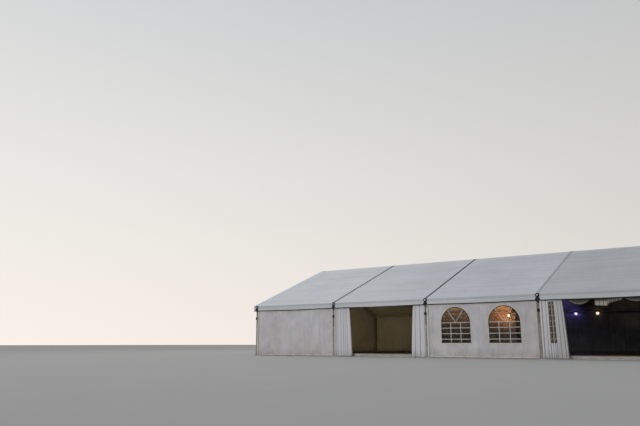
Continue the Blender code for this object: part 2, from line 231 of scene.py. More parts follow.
class Solids:
    """Gathers closed solids into one mesh, each with the number of its material."""

    def __init__(self):
        self.points = []
        self.faces = []
        self.finishes = []

    def add(self, points, faces, finish=0):
        start = len(self.points)
        self.points += points
        self.faces += [[start + corner for corner in face] for face in faces]
        self.finishes += [finish] * len(faces)

    def tube(self, rings, finish=0, flip=False):
        """Joins closed rings of points one after another and shuts both ends."""
        count = len(rings[0])
        corners = list(range(count))
        last = count * (len(rings) - 1)
        faces = []
        for row in range(0, last, count):
            for i in corners:
                j = (i + 1) % count
                faces.append([row + i, row + j, row + count + j, row + count + i])
        faces.append(corners[::-1])
        faces.append([last + i for i in corners])
        if flip:
            faces = [face[::-1] for face in faces]
        self.add([point for ring in rings for point in ring], faces, finish)

    def prism(self, outline, axis, low, high, finish=0):
        """Extrudes an outline along an axis; its pairs are the other two axes in order."""
        area = sum(a * d - b * c for (a, b), (c, d) in zip(outline, outline[1:] + outline[:1]))
        if (area < 0) != (axis == "y"):
            outline = outline[::-1]
        place = "xyz".index(axis)
        self.tube([[(*pair[:place], along, *pair[place:]) for pair in outline]
                   for along in (low, high)], finish)

    def box(self, low, high, finish=0):
        self.prism(rectangle(low[0], high[0], low[1], high[1]), "z", low[2], high[2], finish)

    def rod(self, centre, radius, axis, low, high, steps=12, finish=0):
        self.prism(disc(centre, radius, steps), axis, low, high, finish)

    def ring(self, centre, radius, thickness, steps, sides):
        """A round ring whose hole faces along Y."""
        points = []
        faces = []
        for step in range(steps):
            turn = 2 * math.pi * step / steps
            following = (step + 1) % steps
            for side in range(sides):
                angle = 2 * math.pi * side / sides
                reach = radius + thickness * math.cos(angle)
                points.append((centre[0] + reach * math.cos(turn),
                               centre[1] + thickness * math.sin(angle),
                               centre[2] + reach * math.sin(turn)))
                beside = (side + 1) % sides
                faces.append([step * sides + side, step * sides + beside,
                              following * sides + beside, following * sides + side])
        self.add(points, faces)

    def piece(self, name, materials, slot, nodes=(), edge=0.0, smooth=False):
        mesh = mesh_from(name, self.points, self.faces, smooth)
        mesh.polygons.foreach_set("material_index", self.finishes)
        made = new_piece(mesh, materials, nodes)
        if edge:
            modifier = made.modifiers.new("edges", "BEVEL")
            modifier.width = edge
            modifier.segments = 2
            modifier.limit_method = "ANGLE"
            modifier.angle_limit = math.radians(40)
            modifier.harden_normals = False


# Waves and wrinkles

def ripple(seed, count, across, along):
    """A smooth height field of sine waves, from -1 to 1, over two coordinates."""
    source = random.Random(seed)
    waves = []
    for _ in range(count):
        a = 2 * math.pi / source.uniform(*across)
        b = 2 * math.pi / source.uniform(*along) * source.choice((-1, 1))
        waves.append((a, b, source.uniform(0, 2 * math.pi), source.uniform(0.5, 1.0)))
    total = sum(wave[3] for wave in waves)

    def height(u, v):
        return sum(weight * np.sin(a * u + b * v + phase) for a, b, phase, weight in waves) / total

    return height


def fade(value, reach):
    """Rises smoothly from 0 at an edge to 1 at a distance from it."""
    share = np.clip(value / reach, 0.0, 1.0)
    return share * share * (3 - 2 * share)


# Materials

class Graph:
    """One procedural material, with short names for the nodes it uses."""

    def __init__(self, name):
        self.material = bpy.data.materials.new(name)
        self.material.use_nodes = True
        self.tree = self.material.node_tree
        self.shader = self.tree.nodes["Principled BSDF"]
        self.place = self.node("ShaderNodeTexCoord", "Object", {})

    def feed(self, node, name, value):
        """Links a socket to another node's, or gives it a value of its own."""
        socket = node.inputs[name]
        if isinstance(value, bpy.types.NodeSocket):
            self.tree.links.new(value, socket)
        elif socket.type == "RGBA":
            socket.default_value = (*value, 1.0)
        else:
            socket.default_value = value

    def node(self, kind, output, inputs, **settings):
        """Adds a node, feeds its inputs and gives one of its outputs."""
        made = self.tree.nodes.new(kind)
        for key, value in settings.items():
            setattr(made, key, value)
        for name, value in inputs.items():
            self.feed(made, name, value)
        return made.outputs[output]

    def set(self, name, value):
        self.feed(self.shader, name, value)

    def noise(self, scale, detail=3.0, roughness=0.5, stretch=(1, 1, 1), turn=(0, 0, 0)):
        place = self.node("ShaderNodeMapping", "Vector",
                          {"Vector": self.place, "Scale": stretch, "Rotation": turn})
        return self.node("ShaderNodeTexNoise", "Fac", {
            "Vector": place, "Scale": scale, "Detail": detail, "Roughness": roughness})

    def wave(self, scale, axis):
        return self.node("ShaderNodeTexWave", "Fac", {"Vector": self.place, "Scale": scale},
                         bands_direction=axis)

    def weave(self, size):
        """Threads in two directions, as a height from 0 to 1."""
        threads = 1.0 / size / 2
        return self.math("MULTIPLY", self.wave(threads, "X"), self.wave(threads, "Z"))

    def math(self, operation, first, second):
        return self.node("ShaderNodeMath", 0, {0: first, 1: second}, operation=operation)

    def axis(self, name):
        return self.node("ShaderNodeSeparateXYZ", name, {0: self.place})

    def range(self, value, low, high, new_low=0.0, new_high=1.0):
        return self.node("ShaderNodeMapRange", "Result", {
            "Value": value, "From Min": low, "From Max": high, "To Min": new_low,
            "To Max": new_high})

    def patches(self, scale, detail, roughness, low, high, most=1.0, stretch=(1, 1, 1)):
        """Cloudy noise: 0 up to one value of it, and the most from another value on."""
        return self.range(self.noise(scale, detail, roughness, stretch), low, high, 0.0, most)

    def band(self, value, low, high, soft):
        """1 between two values and 0 outside them, with soft edges."""
        rise = self.range(value, low - soft, low)
        fall = self.range(value, high, high + soft, 1.0, 0.0)
        return self.math("MULTIPLY", rise, fall)

    def diagonal_creases(self, scale):
        """Thin broken lines that run down to both sides, 1 in a crease and 0 beside it."""
        lines = []
        for turn in (0.5, -0.6):
            field = self.noise(scale, stretch=(1.0, 1.0, 0.16), turn=(0.0, turn, 0.0))
            lines.append(self.band(field, 0.496, 0.504, 0.012))
        return self.math("MAXIMUM", *lines)

    def mix(self, factor, first, second, blend="MIX"):
        return self.node("ShaderNodeMix", 2, {0: factor, 6: first, 7: second},
                         data_type="RGBA", blend_type=blend)

    def two_tone(self, share, first, second, smooth, rough, most=1.0):
        """Sets the colour and the roughness by a share that runs from 0 to its most."""
        self.set("Base Color", self.mix(share, first, second))
        self.set("Roughness", self.range(share, 0.0, most, smooth, rough))

    def paint(self, factor, tint, blend="MIX"):
        """Lays a tint over the colour that the shader has."""
        under = self.shader.inputs["Base Color"].links[0].from_socket
        self.set("Base Color", self.mix(factor, under, tint, blend))

    def relief(self, height, strength, distance):
        """Adds a bump to those that the shader has."""
        inputs = {"Height": height, "Strength": strength, "Distance": distance}
        for link in self.shader.inputs["Normal"].links:
            inputs["Normal"] = link.from_socket
        self.set("Normal", self.node("ShaderNodeBump", "Normal", inputs))


def dimmed(tone, share):
    return tuple(value * share for value in tone)


def coated_cloth(name, base, streak_stretch, dirt_height=0.0, roughness=0.46, relief=0.020):
    """Satin PVC cloth: mottled white, faint dirt streaks, scrim weave and soft creases."""
    graph = Graph(name)
    mottling = graph.patches(0.45, 5.0, 0.55, 0.35, 0.68)
    graph.set("Base Color", graph.mix(mottling, base, dimmed(base, 0.90)))
    streaks = graph.patches(5.0, 4.0, 0.6, 0.50, 0.78, 0.22, streak_stretch)
    graph.paint(streaks, (0.42, 0.42, 0.40))
    graph.paint(graph.patches(38.0, 3.0, 0.7, 0.66, 0.80, 0.10), (0.30, 0.29, 0.26))
    if dirt_height:
        splash = graph.range(graph.axis("Z"), 0.0, dirt_height, 0.62, 0.0)
        spots = graph.range(graph.noise(4.0, 5.0, 0.65), 0.35, 0.65, 0.1, 1.0)
        graph.paint(graph.math("MULTIPLY", splash, spots), (0.20, 0.20, 0.15))
    gloss = graph.noise(2.4, 3.0)
    graph.set("Roughness", graph.range(gloss, 0.3, 0.7, roughness - 0.06, roughness + 0.10))
    graph.set("Specular IOR Level", 0.42)
    graph.relief(graph.noise(1.6, 4.0, 0.55, streak_stretch), 0.25, relief)
    graph.relief(graph.weave(0.0024), 0.10, 0.0004)
    return graph


def roof_cloth(name, base, upper_shade, lower_shade):
    """Roof cloth with weld lines over the purlins, painted shade and highlights along them, a
    valance darkened as painted shade (most at the rail), and a painted highlight towards the ridge.
    """
    graph = coated_cloth(name, base, (1.6, 0.22, 0.22))
    lengthwise = graph.patches(2.6, 3.0, 0.6, 0.38, 0.64, 0.14, (0.04, 1.0, 1.0))
    graph.paint(lengthwise, (0.30, 0.31, 0.33))
    height = graph.axis("Z")
    dark = (0.02, 0.02, 0.02)
    pale = (0.95, 0.95, 0.95)
    # Painted shade: the valance is darkened, its upper band at the rail the most.
    bands = [(VALANCE_WELD, EAVE_HEIGHT - 0.022, 0.006, upper_shade, dark),
             (VALANCE_BOTTOM - 0.10, VALANCE_WELD, 0.004, lower_shade, dark)]
    # Painted shade and highlight: at each purlin a thin dark line, a weld darkened also where the
    # sheet bends over the purlin, and a painted highlight just below it.
    for run in PURLIN_RUNS:
        centre = RIDGE_HEIGHT - run * math.sin(SLOPE)
        bands.append((centre - 0.008, centre + 0.008, 0.006, 0.20, (0.10, 0.10, 0.11)))
        bands.append((centre - 0.052, centre - 0.020, 0.010, 0.14, pale))
    for low, high, soft, share, tint in bands:
        graph.paint(graph.math("MULTIPLY", graph.band(height, low, high, soft), share), tint)
    # Painted highlight: the cloth lightens towards the ridge.
    graph.paint(graph.range(height, RIDGE_HEIGHT - 0.30, RIDGE_HEIGHT - 0.05, 0.0, 0.09), pale)
    return graph.material


def wall_cloth():
    """Wall cloth, blotched a little pink and grey, with diagonal creases that are bumped and
    darkened as painted shade.
    """
    graph = coated_cloth("wall_pvc_cloth", (0.580, 0.581, 0.596), (1.6, 1.6, 0.22), 0.45,
                         relief=0.035)
    graph.paint(graph.patches(0.9, 3.0, 0.5, 0.42, 0.60), (1.0, 0.955, 0.950), "MULTIPLY")
    graph.paint(graph.patches(2.4, 4.0, 0.62, 0.44, 0.64), (0.900, 0.908, 0.928), "MULTIPLY")
    creases = graph.diagonal_creases(1.3)
    # Painted shade: the creases are darkened.
    graph.paint(graph.math("MULTIPLY", creases, 0.16), (0.34, 0.34, 0.36))
    graph.relief(creases, 0.5, 0.012)
    return graph.material


def curtain_cloth(name, base):
    return coated_cloth(name, base, (1.6, 1.6, 0.18), 0.40, 0.50).material


def metal(name, base, dark, roughness, metallic, stretch):
    """Weathered aluminium: drawn along its length, with oxide patches and dulled spots."""
    graph = Graph(name)
    oxide = graph.patches(7.0, 5.0, 0.6, 0.38, 0.68)
    graph.two_tone(oxide, base, dark, roughness, roughness + 0.18)
    graph.paint(graph.patches(120.0, 2.0, 0.5, 0.3, 0.7, 0.35, stretch), dimmed(base, 0.75))
    graph.set("Metallic", metallic)
    graph.relief(graph.noise(160.0, 2.0, 0.5, stretch), 0.12, 0.0006)
    return graph.material


def dark_plastic(name, base, roughness):
    graph = Graph(name)
    worn = graph.patches(30.0, 4.0, 0.6, 0.45, 0.75, 0.6)
    lighter = tuple(value * 2.0 + 0.004 for value in base)
    graph.two_tone(worn, base, lighter, roughness, roughness + 0.2, 0.6)
    graph.set("Specular IOR Level", 0.25)
    graph.relief(graph.noise(240.0, 2.0), 0.15, 0.0005)
    return graph.material


def webbing():
    graph = Graph("strap_webbing")
    ribs = graph.wave(170.0, "Z")
    graph.two_tone(ribs, (0.055, 0.052, 0.045), (0.11, 0.105, 0.09), 0.6, 0.85)
    graph.relief(ribs, 0.4, 0.001)
    return graph.material


def clear_film():
    """Clear PVC: thin, a little milky, with soft ripples in its gloss."""
    graph = Graph("clear_pvc_film")
    haze = graph.patches(3.0, 4.0, 0.6, 0.35, 0.75, 1.0, (1, 1, 0.4))
    graph.two_tone(haze, (0.30, 0.28, 0.24), (0.45, 0.43, 0.38), 0.08, 0.22)
    graph.set("Alpha", graph.range(haze, 0.0, 1.0, 0.008, 0.030))
    graph.set("Specular IOR Level", 0.28)
    graph.relief(graph.noise(2.2, 2.0), 0.35, 0.02)
    return graph.material


def folded_film():
    """Clear film gathered in layers looks dark, with a dull gloss."""
    graph = Graph("clear_pvc_gathered")
    haze = graph.patches(9.0, 4.0, 0.6, 0.35, 0.75, 1.0, (1, 1, 0.3))
    graph.two_tone(haze, (0.010, 0.009, 0.008), (0.05, 0.046, 0.037), 0.22, 0.5)
    graph.relief(graph.noise(14.0), 0.2, 0.004)
    return graph.material


def soft_cloth(name, base, shade, thread, sheen):
    graph = Graph(name)
    mottling = graph.patches(3.0, 4.0, 0.6, 0.35, 0.7)
    graph.two_tone(mottling, base, shade, 0.78, 0.92)
    weave = graph.weave(thread)
    graph.paint(graph.math("MULTIPLY", weave, 0.25), shade)
    graph.set("Sheen Weight", sheen)
    graph.set("Sheen Roughness", 0.45)
    graph.relief(weave, 0.30, 0.0008)
    return graph.material


def pelmet_cloth():
    """Ivory cloth with painted shade: dark brown where the folds turn away under the valance, by
    each point's painted_light share.
    """
    graph = Graph("pelmet_ivory_painted_shade")
    painted_light = graph.node("ShaderNodeAttribute", "Fac", {}, attribute_name="painted_light")
    mottling = graph.patches(6.0, 4.0, 0.6, 0.35, 0.7)
    # Painted light and shade: a lit and a shaded ivory, mixed by each point's painted_light share.
    light = graph.mix(mottling, (0.66, 0.62, 0.52), (0.54, 0.50, 0.41))
    dark = graph.mix(mottling, (0.075, 0.066, 0.055), (0.050, 0.045, 0.040))
    graph.set("Base Color", graph.mix(painted_light, dark, light))
    graph.set("Roughness", graph.range(mottling, 0.0, 1.0, 0.75, 0.9))
    graph.set("Sheen Weight", 0.15)
    graph.relief(graph.weave(0.004), 0.30, 0.0008)
    return graph.material


def plywood():
    graph = Graph("floor_plywood")
    grain = graph.noise(9.0, 6.0, 0.62, (0.35, 6.0, 6.0))
    wood = graph.mix(graph.range(grain, 0.3, 0.7), (0.33, 0.27, 0.19), (0.17, 0.13, 0.09))
    scuffs = graph.patches(2.2, 5.0, 0.65, 0.45, 0.75, 0.7)
    graph.two_tone(scuffs, wood, (0.30, 0.29, 0.26), 0.5, 0.8, 0.7)
    graph.relief(grain, 0.2, 0.002)
    return graph.material


def step_edge():
    graph = Graph("floor_edge_strip")
    worn = graph.patches(6.0, 5.0, 0.6, 0.35, 0.7, 1.0, (0.6, 2, 4))
    graph.two_tone(worn, (0.46, 0.45, 0.42), (0.26, 0.25, 0.22), 0.45, 0.75)
    graph.relief(worn, 0.2, 0.002)
    return graph.material


def glowing(name, tint, strength):
    graph = Graph(name)
    graph.two_tone(graph.noise(60.0, 2.0), (0.9, 0.88, 0.84), (0.8, 0.78, 0.74), 0.25, 0.45)
    graph.set("Emission Color", tint)
    graph.set("Emission Strength", strength)
    return graph.material


ALONG_X = (0.02, 1, 1)
ALONG_YZ = (1, 0.02, 0.02)
ALONG_Z = (1, 1, 0.02)
EVEN = (1, 1, 1)

ROOF_CLOTH = roof_cloth("roof_pvc_cloth", (0.688, 0.724, 0.762), 0.31, 0.17)
# Painted shade: bays 4 and 5 get a darker copy of the roof cloth.
SHADED_ROOF_CLOTH = roof_cloth("roof_pvc_cloth_painted_shade", (0.590, 0.624, 0.651), 0.18, 0.01)
SHADED_ROOF_BAYS = (4, 5)
WALL_CLOTH = wall_cloth()
CURTAIN_CLOTH = curtain_cloth("curtain_pvc_cloth", (0.660, 0.662, 0.690))
# Painted shade: a greyer copy of the curtain cloth for the outer pleats of the walls drawn aside in
# bay 4.
SHADED_CURTAIN_CLOTH = curtain_cloth("curtain_pvc_cloth_painted_shade", (0.515, 0.515, 0.515))
TRIM_CLOTH = coated_cloth("window_trim_cloth", (0.68, 0.655, 0.60), (1.6, 1.6, 0.3), 0.0,
                          0.42).material
FRAME_METAL = metal("frame_aluminium_drawn", (0.44, 0.43, 0.41), (0.28, 0.27, 0.25), 0.42, 0.35,
                    ALONG_X)
TRACK_METAL = metal("track_aluminium_dull", (0.076, 0.080, 0.086), (0.045, 0.048, 0.051), 0.55,
                    0.3, ALONG_YZ)
TRACK_COVER = metal("track_cover_grey", (0.56, 0.57, 0.60), (0.46, 0.47, 0.50), 0.55, 0.0,
                    ALONG_YZ)
LEG_METAL = metal("leg_aluminium_olive", (0.29, 0.28, 0.215), (0.20, 0.19, 0.148), 0.48, 0.25,
                  ALONG_Z)
STEEL = metal("galvanised_steel", (0.36, 0.36, 0.35), (0.20, 0.19, 0.17), 0.42, 0.85, EVEN)
CAP_LIGHT = metal("eave_cap_bright", (0.72, 0.71, 0.68), (0.52, 0.51, 0.48), 0.35, 0.3, EVEN)
CAP_DARK = dark_plastic("eave_cap_dark", (0.012, 0.012, 0.013), 0.55)
BLACK_METAL = dark_plastic("black_buckle", (0.005, 0.005, 0.005), 0.5)
HEM_CLOTH = dark_plastic("valance_hem_tape", (0.010, 0.0095, 0.009), 0.6)
# Painted shade: a dark brown band just inside each window stands for the shaded edge of the
# opening.
WINDOW_EDGE_SHADE = dark_plastic("window_edge_painted_shade", (0.050, 0.034, 0.024), 0.7)
# A keder edge strip on each wall, dark also as painted shade of the gap beside the leg.
EDGE_STRIP_AND_SHADE = dark_plastic("wall_edge_strip", (0.12, 0.115, 0.095), 0.7)
WEBBING = webbing()
CLEAR_FILM = clear_film()
DARK_FILM = folded_film()
FOLDED_BAR_CLOTH = soft_cloth("folded_window_bars", (0.38, 0.35, 0.29), (0.27, 0.245, 0.20), 0.004,
                              0.1)
SHADE_PAINTED_IVORY = pelmet_cloth()
# Black lining cloth, dark also as painted shade of the unlit inside; the ceiling gets a darker copy
# as painted shade.
BLACK_LINING_AND_SHADE = soft_cloth("lining_black_and_painted_shade", (0.128, 0.132, 0.140), (0.088, 0.092, 0.099), 0.003, 0.05)
SHADED_CEILING_CLOTH = soft_cloth("ceiling_black_painted_shade", (0.070, 0.069, 0.068), (0.046, 0.045, 0.046), 0.003,
                           0.0)
PLYWOOD = plywood()
STEP_EDGE = step_edge()
WARM_GLOW = glowing("lamp_glass_warm", (1.0, 0.80, 0.58), 1.0)
VIOLET_GLOW = glowing("lamp_glass_violet", (0.60, 0.52, 0.95), 0.9)


# Roof

def section_half():
    """The roof's outer line from the ridge to the hem, at the back: y, z, normal y, normal z,
    the share of the sag there, and how far down the valance it is."""
    lean = math.tan(SLOPE)
    rows = []
    for step in range(RIDGE_STEPS):
        y = RIDGE_ROUND * step / RIDGE_STEPS
        z = RIDGE_HEIGHT - (y * y / (2 * RIDGE_ROUND) + RIDGE_ROUND / 2) * lean
        tilt = math.atan(y / RIDGE_ROUND * lean)
        rows.append((y, z, math.sin(tilt), math.cos(tilt), 0.0, 0.0))
    turn = math.pi / 2 - SLOPE
    tangent = EAVE_ROUND * math.tan(turn / 2)
    stops = (RIDGE_ROUND / math.cos(SLOPE), *PURLIN_RUNS, SLOPE_LENGTH - tangent)
    for start, end in zip(stops, stops[1:]):
        for step in range(SLOPE_STEPS):
            share = step / SLOPE_STEPS
            y = (start + (end - start) * share) * math.cos(SLOPE)
            sag = math.sin(math.pi * share)
            rows.append((y, RIDGE_HEIGHT - y * lean, math.sin(SLOPE), math.cos(SLOPE), sag, 0.0))
    fold_z = EAVE_HEIGHT - tangent
    for step in range(FOLD_STEPS + 1):
        angle = turn - turn * step / FOLD_STEPS
        out = math.cos(angle)
        up = math.sin(angle)
        y = HALF_SPAN - EAVE_ROUND + EAVE_ROUND * out
        rows.append((y, fold_z + EAVE_ROUND * up, out, up, 0.0, 0.0))
    for step in range(1, VALANCE_STEPS + 1):
        z = fold_z + (VALANCE_BOTTOM - fold_z) * (step / VALANCE_STEPS)
        rows.append((HALF_SPAN, z, 1.0, 0.0, 0.0, (EAVE_HEIGHT - z) / VALANCE_DROP))
    return rows


SECTION = section_half()


def roof_columns(bay):
    """The X of the columns of a bay's sheet, closer together beside the frames."""
    left = FRAME_X[bay - 1] + TRACK_GAP / 2
    right = FRAME_X[bay] - TRACK_GAP / 2
    even = np.arange(ROOF_COLUMNS + 1) / ROOF_COLUMNS
    crowded = (1 - np.cos(math.pi * even)) / 2
    columns = [*(left + (right - left) * (0.45 * crowded + 0.55 * even))]
    if bay == 1:
        columns = [low_corner("roof_sheet_1").x - END_FOLD, FRAME_X[0], *columns]
    if bay == BAY_COUNT:
        columns += [FRAME_X[-1], high_corner("roof_sheet_5").x + END_FOLD]
    return np.array(columns)


def roof_width(bay):
    return float(np.ptp(roof_columns(bay)))


def roof_grid(bay):
    columns = roof_columns(bay)
    left = FRAME_X[bay - 1]
    right = FRAME_X[bay]
    bow = np.sin(math.pi * np.clip((columns - left) / (right - left), 0.0, 1.0))
    inside = fade(np.minimum(columns - left, right - columns), 0.5)
    wrinkles = ripple(100 + bay, 9, (0.5, 2.4), (1.2, 5.0))
    hem_waves = ripple(140 + bay, 5, (0.5, 1.6), (2.0, 6.0))
    halves = []
    for side in (FRONT, BACK):
        rows = []
        for y, z, normal_y, normal_z, sag, down in SECTION:
            wrinkle = WRINKLE_DEPTH * inside * (1 + wrinkles(columns, side * y / math.cos(SLOPE)))
            depth = sag * (SLOPE_SAG * bow ** 0.8 + wrinkle)
            lower = max(0.0, down - VALANCE_UPPER / VALANCE_DROP)
            flare = VALANCE_FLARE * (0.35 + 0.65 * inside)
            flare += VALANCE_WAVE * hem_waves(columns, z * 2.0) * inside
            out_y = y - normal_y * depth + lower * flare
            out_z = z - normal_z * depth - HEM_SAG * down * bow ** 2
            rows.append(points_at(columns, side * out_y, out_z))
        halves.append(rows)
    front, back = halves
    return np.array(front[::-1] + back[1:])


def roof_sheets():
    for bay in BAYS:
        mesh = grid_mesh(f"roof_cloth_{bay}", roof_grid(bay), True)
        cloth = SHADED_ROOF_CLOTH if bay in SHADED_ROOF_BAYS else ROOF_CLOTH
        flat = (roof_width(bay), 2 * (SLOPE_LENGTH + VALANCE_DROP))
        carriers = [f"rafter_pair_{bay}", f"rafter_pair_{bay + 1}", "ridge_purlin"]
        soft_piece(mesh, [cloth], flat, carriers, [f"roof_sheet_{bay}"])


def valance_hems():
    """A dark tape is sewn along the lower edge of every valance."""
    for bay in BAYS:
        grid = roof_grid(bay)
        for side, label in SIDES:
            rows = grid[:HEM_ROWS] if side == FRONT else grid[:-HEM_ROWS - 1:-1]
            mesh = grid_mesh(f"{label}_valance_hem_{bay}", rows + [0.0, side * HEM_OUT, -HEM_DROP],
                             side == BACK)
            soft_piece(mesh, [HEM_CLOTH], (HEM_TAPE, roof_width(bay)),
                       [f"roof_cloth_{bay}"], thickness=THIN_SHEET)


def gable_flaps():
    """The end sheets turn down over the gables' rafters in a band with a wavy hem."""
    for end, label in ENDS:
        bay = 1 if end < 0 else BAY_COUNT
        low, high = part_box(f"roof_sheet_{bay}")
        outer = (low if end < 0 else high).x + end * END_FOLD
        ys = np.linspace(-HALF_SPAN + 0.004, HALF_SPAN - 0.004, 161)
        top = RIDGE_HEIGHT - 0.004 - np.abs(ys) * math.tan(SLOPE)
        waves = ripple(60 + bay, 6, (0.4, 1.5), (2.0, 5.0))
        rows = []
        for share in np.arange(9) / 8:
            out = 0.002 + 0.012 * share * (1 + waves(ys, share * 0.4))
            z = top - VALANCE_DROP * share * (1 + 0.05 * waves(ys * 1.4, 0.0))
            rows.append(points_at(outer + end * out, ys, z))
        soft_piece(grid_mesh(f"{label}_gable_flap", rows, end < 0), [ROOF_CLOTH],
                   (2 * SLOPE_LENGTH, VALANCE_DROP * math.cos(SLOPE)), [f"roof_cloth_{bay}"],
                   [f"roof_sheet_{bay}"])


def tracks():
    """Between two sheets lies the rafter's keder track: a dull channel with two raised lips."""
    profile = [(-0.043, -0.008), (0.043, -0.008), (0.043, 0.004), (0.037, 0.008), (0.030, 0.004),
               (0.013, 0.004), (0.011, -0.003), (-0.011, -0.003), (-0.013, 0.004),
               (-0.030, 0.004), (-0.037, 0.008), (-0.043, 0.004)]
    for number, x in enumerate(FRAME_X[1:-1], 2):
        track = Solids()
        for side, outline in ((FRONT, profile), (BACK, profile[::-1])):
            rings = []
            for y, z, normal_y, normal_z, _, down in SECTION:
                if down <= TRACK_END:
                    rings.append([(x + across, side * (y + normal_y * lift), z + normal_z * lift)
                                  for across, lift in outline])
            track.tube(rings)
        finish = TRACK_COVER if number > 3 else TRACK_METAL
        track.piece(f"roof_track_{number}", [finish], "frame_aluminium")


def ridge_caps():
    """A bent plate with four bolts covers the ends of the tracks on the ridge."""
    for number, x in enumerate(FRAME_X, 1):
        cap = Solids()
        upper = []
        for step in range(-6, 7):
            y = 0.16 * step / 6
            bend = math.hypot(y, 0.03) - 0.03
            upper.append((y, RIDGE_HEIGHT + 0.004 - bend * math.tan(SLOPE)))
        lower = [(y, z - 0.006) for y, z in reversed(upper)]
        cap.prism(upper + lower, "x", x - 0.07, x + 0.07)
        for y in (-0.11, 0.11):
            z = RIDGE_HEIGHT - abs(y) * math.tan(SLOPE)
            for offset in (-0.035, 0.035):
                cap.rod((x + offset, y), 0.010, "z", z, z + 0.016, 6)
        cap.piece(f"ridge_cap_{number}", [STEEL], "frame_aluminium", edge=0.0015)


# Legs

GROOVE_HALF = 0.007
GROOVE_DEPTH = 0.012
GROOVE_INSET = 0.030
CHANNEL_HALF = 0.018
CHANNEL_DEPTH = 0.006
GUSSET_TOE = 0.125
GUSSET_TOP = 0.11
PEG_OFFSET = 0.138
PEG_INSET = 0.035

# Radius, foot, top and corners of a peg's nut, shank and head
PEG_PARTS = ((0.015, PLATE_THICKNESS, 0.030, 6), (0.011, 0.030, 0.075, 12),
             (0.019, 0.075, 0.087, 12))

# Outline, near and far distance from the tent's middle, and finish of an eave cap's plates
CAP_PARTS = (
    ([(-0.036, 2.430), (0.036, 2.430), *round_points((0.0, CAP_HEAD), RING_RADIUS, 0, math.pi, 18)],
     CAP_FACE - 0.012, CAP_FACE - 0.004, 0),
    (disc((BOSS_OFFSET, CAP_HEAD), BOSS_RADIUS, 24), CAP_FACE - 0.004, CAP_FACE + 0.016, 1),
    (disc((BOSS_OFFSET, CAP_HEAD), 0.010, 6), CAP_FACE + 0.016, CAP_FACE + 0.022, 0),
    ([(-0.105, 2.322), (0.090, 2.322), (0.090, 2.375), (0.055, 2.455), (-0.055, 2.455),
      (-0.105, 2.375)], CAP_FACE - 0.010, CAP_FACE + 0.011, 0),
    (rectangle(-0.016, 0.016, 2.330, 2.440), CAP_FACE + 0.011, CAP_FACE + 0.017, 0),
    (disc((-0.062, 2.345), 0.009, 6), CAP_FACE + 0.011, CAP_FACE + 0.018, 0),
    (disc((0.062, 2.345), 0.009, 6), CAP_FACE + 0.011, CAP_FACE + 0.018, 0),
    (rectangle(-0.045, 0.045, 2.270, 2.335), LEG_FRONT - 0.004, CAP_FACE - 0.008, 0),
    (rectangle(0.022, 0.044, 2.205, 2.330), LEG_FRONT, LEG_FRONT + 0.030, 0),
)

# Left, right, low and high from the buckle's middle, near and far from the leg's face, and finish
STRAP_PARTS = (
    (-0.016, 0.016, 0.0, 0.36, 0.0005, 0.0030, 1),
    (-0.016, 0.016, -0.51, 0.0, 0.0005, 0.0030, 1),
    (-0.014, 0.012, -0.41, -0.02, 0.0045, 0.0065, 1),
    (-0.046, 0.046, -0.062, 0.064, 0.003, 0.008, 0),
    (-0.046, -0.040, -0.058, 0.060, 0.008, 0.038, 0),
    (0.040, 0.046, -0.058, 0.060, 0.008, 0.038, 0),
    (-0.038, 0.038, -0.034, 0.032, 0.028, 0.042, 0),
    (-0.042, 0.042, -0.062, -0.034, 0.026, 0.048, 0),
)


def mirrored(points):
    return [(-a, b) for a, b in reversed(points)]


def leg_plan():
    """A box with two keder grooves in each flank and a channel in front and behind."""
    half = LEG_WIDTH / 2
    flank = [(half, 0.0)]
    for centre in (GROOVE_INSET, LEG_DEPTH - GROOVE_INSET):
        for inward, along in rectangle(0.0, GROOVE_DEPTH, -GROOVE_HALF, GROOVE_HALF):
            flank.append((half - inward, centre + along))
    flank.append((half, LEG_DEPTH))
    behind = [(CHANNEL_HALF, LEG_DEPTH), (CHANNEL_HALF, LEG_DEPTH - CHANNEL_DEPTH)]
    before = [(-CHANNEL_HALF, 0.0), (-CHANNEL_HALF, CHANNEL_DEPTH)]
    return flank + behind + mirrored(behind) + mirrored(flank) + before + mirrored(before)


def leg(side, label, number, x):
    """A grooved profile on a base plate with two gussets and four pegs."""
    post = Solids()
    plan = [(x + a, side * (LEG_FRONT - b)) for a, b in leg_plan()]
    post.prism(plan, "z", PLATE_THICKNESS, WALL_TOP)
    node = f"{label}_leg_{number}"
    low_y, high_y = sorted((side * LEG_FRONT, side * (LEG_FRONT - LEG_DEPTH)))
    middle = (low_y + high_y) / 2
    post.box((low_corner(node).x, low_y, 0.0), (high_corner(node).x, high_y, PLATE_THICKNESS), 1)
    for end in (-1, 1):
        heel = x + end * LEG_WIDTH / 2
        gusset = [(heel, PLATE_THICKNESS), (x + end * GUSSET_TOE, PLATE_THICKNESS),
                  (heel, GUSSET_TOP)]
        post.prism(gusset, "y", middle - 0.004, middle + 0.004, 1)
        for y in (low_y + PEG_INSET, high_y - PEG_INSET):
            for radius, foot, top, corners in PEG_PARTS:
                post.rod((x + end * PEG_OFFSET, y), radius, "z", foot, top, corners, 1)
    post.piece(f"{label}_leg_profile_{number}", [LEG_METAL, STEEL], "leg_aluminium", [node], 0.0015)


def eave_cap(side, label, number, x):
    """A dark ring around a bright boss, on a tapered collar that closes the valance's gap."""
    cap = Solids()
    cap.ring((x, side * (CAP_FACE + 0.004), CAP_HEAD), RING_RADIUS, RING_TUBE, 32, 12)
    for outline, near, far, finish in CAP_PARTS:
        low_y, high_y = sorted((side * near, side * far))
        cap.prism([(x + a, z) for a, z in outline], "y", low_y, high_y, finish)
    cap.piece(f"{label}_eave_cap_{number}", [CAP_DARK, CAP_LIGHT], "leg_aluminium", edge=0.002)


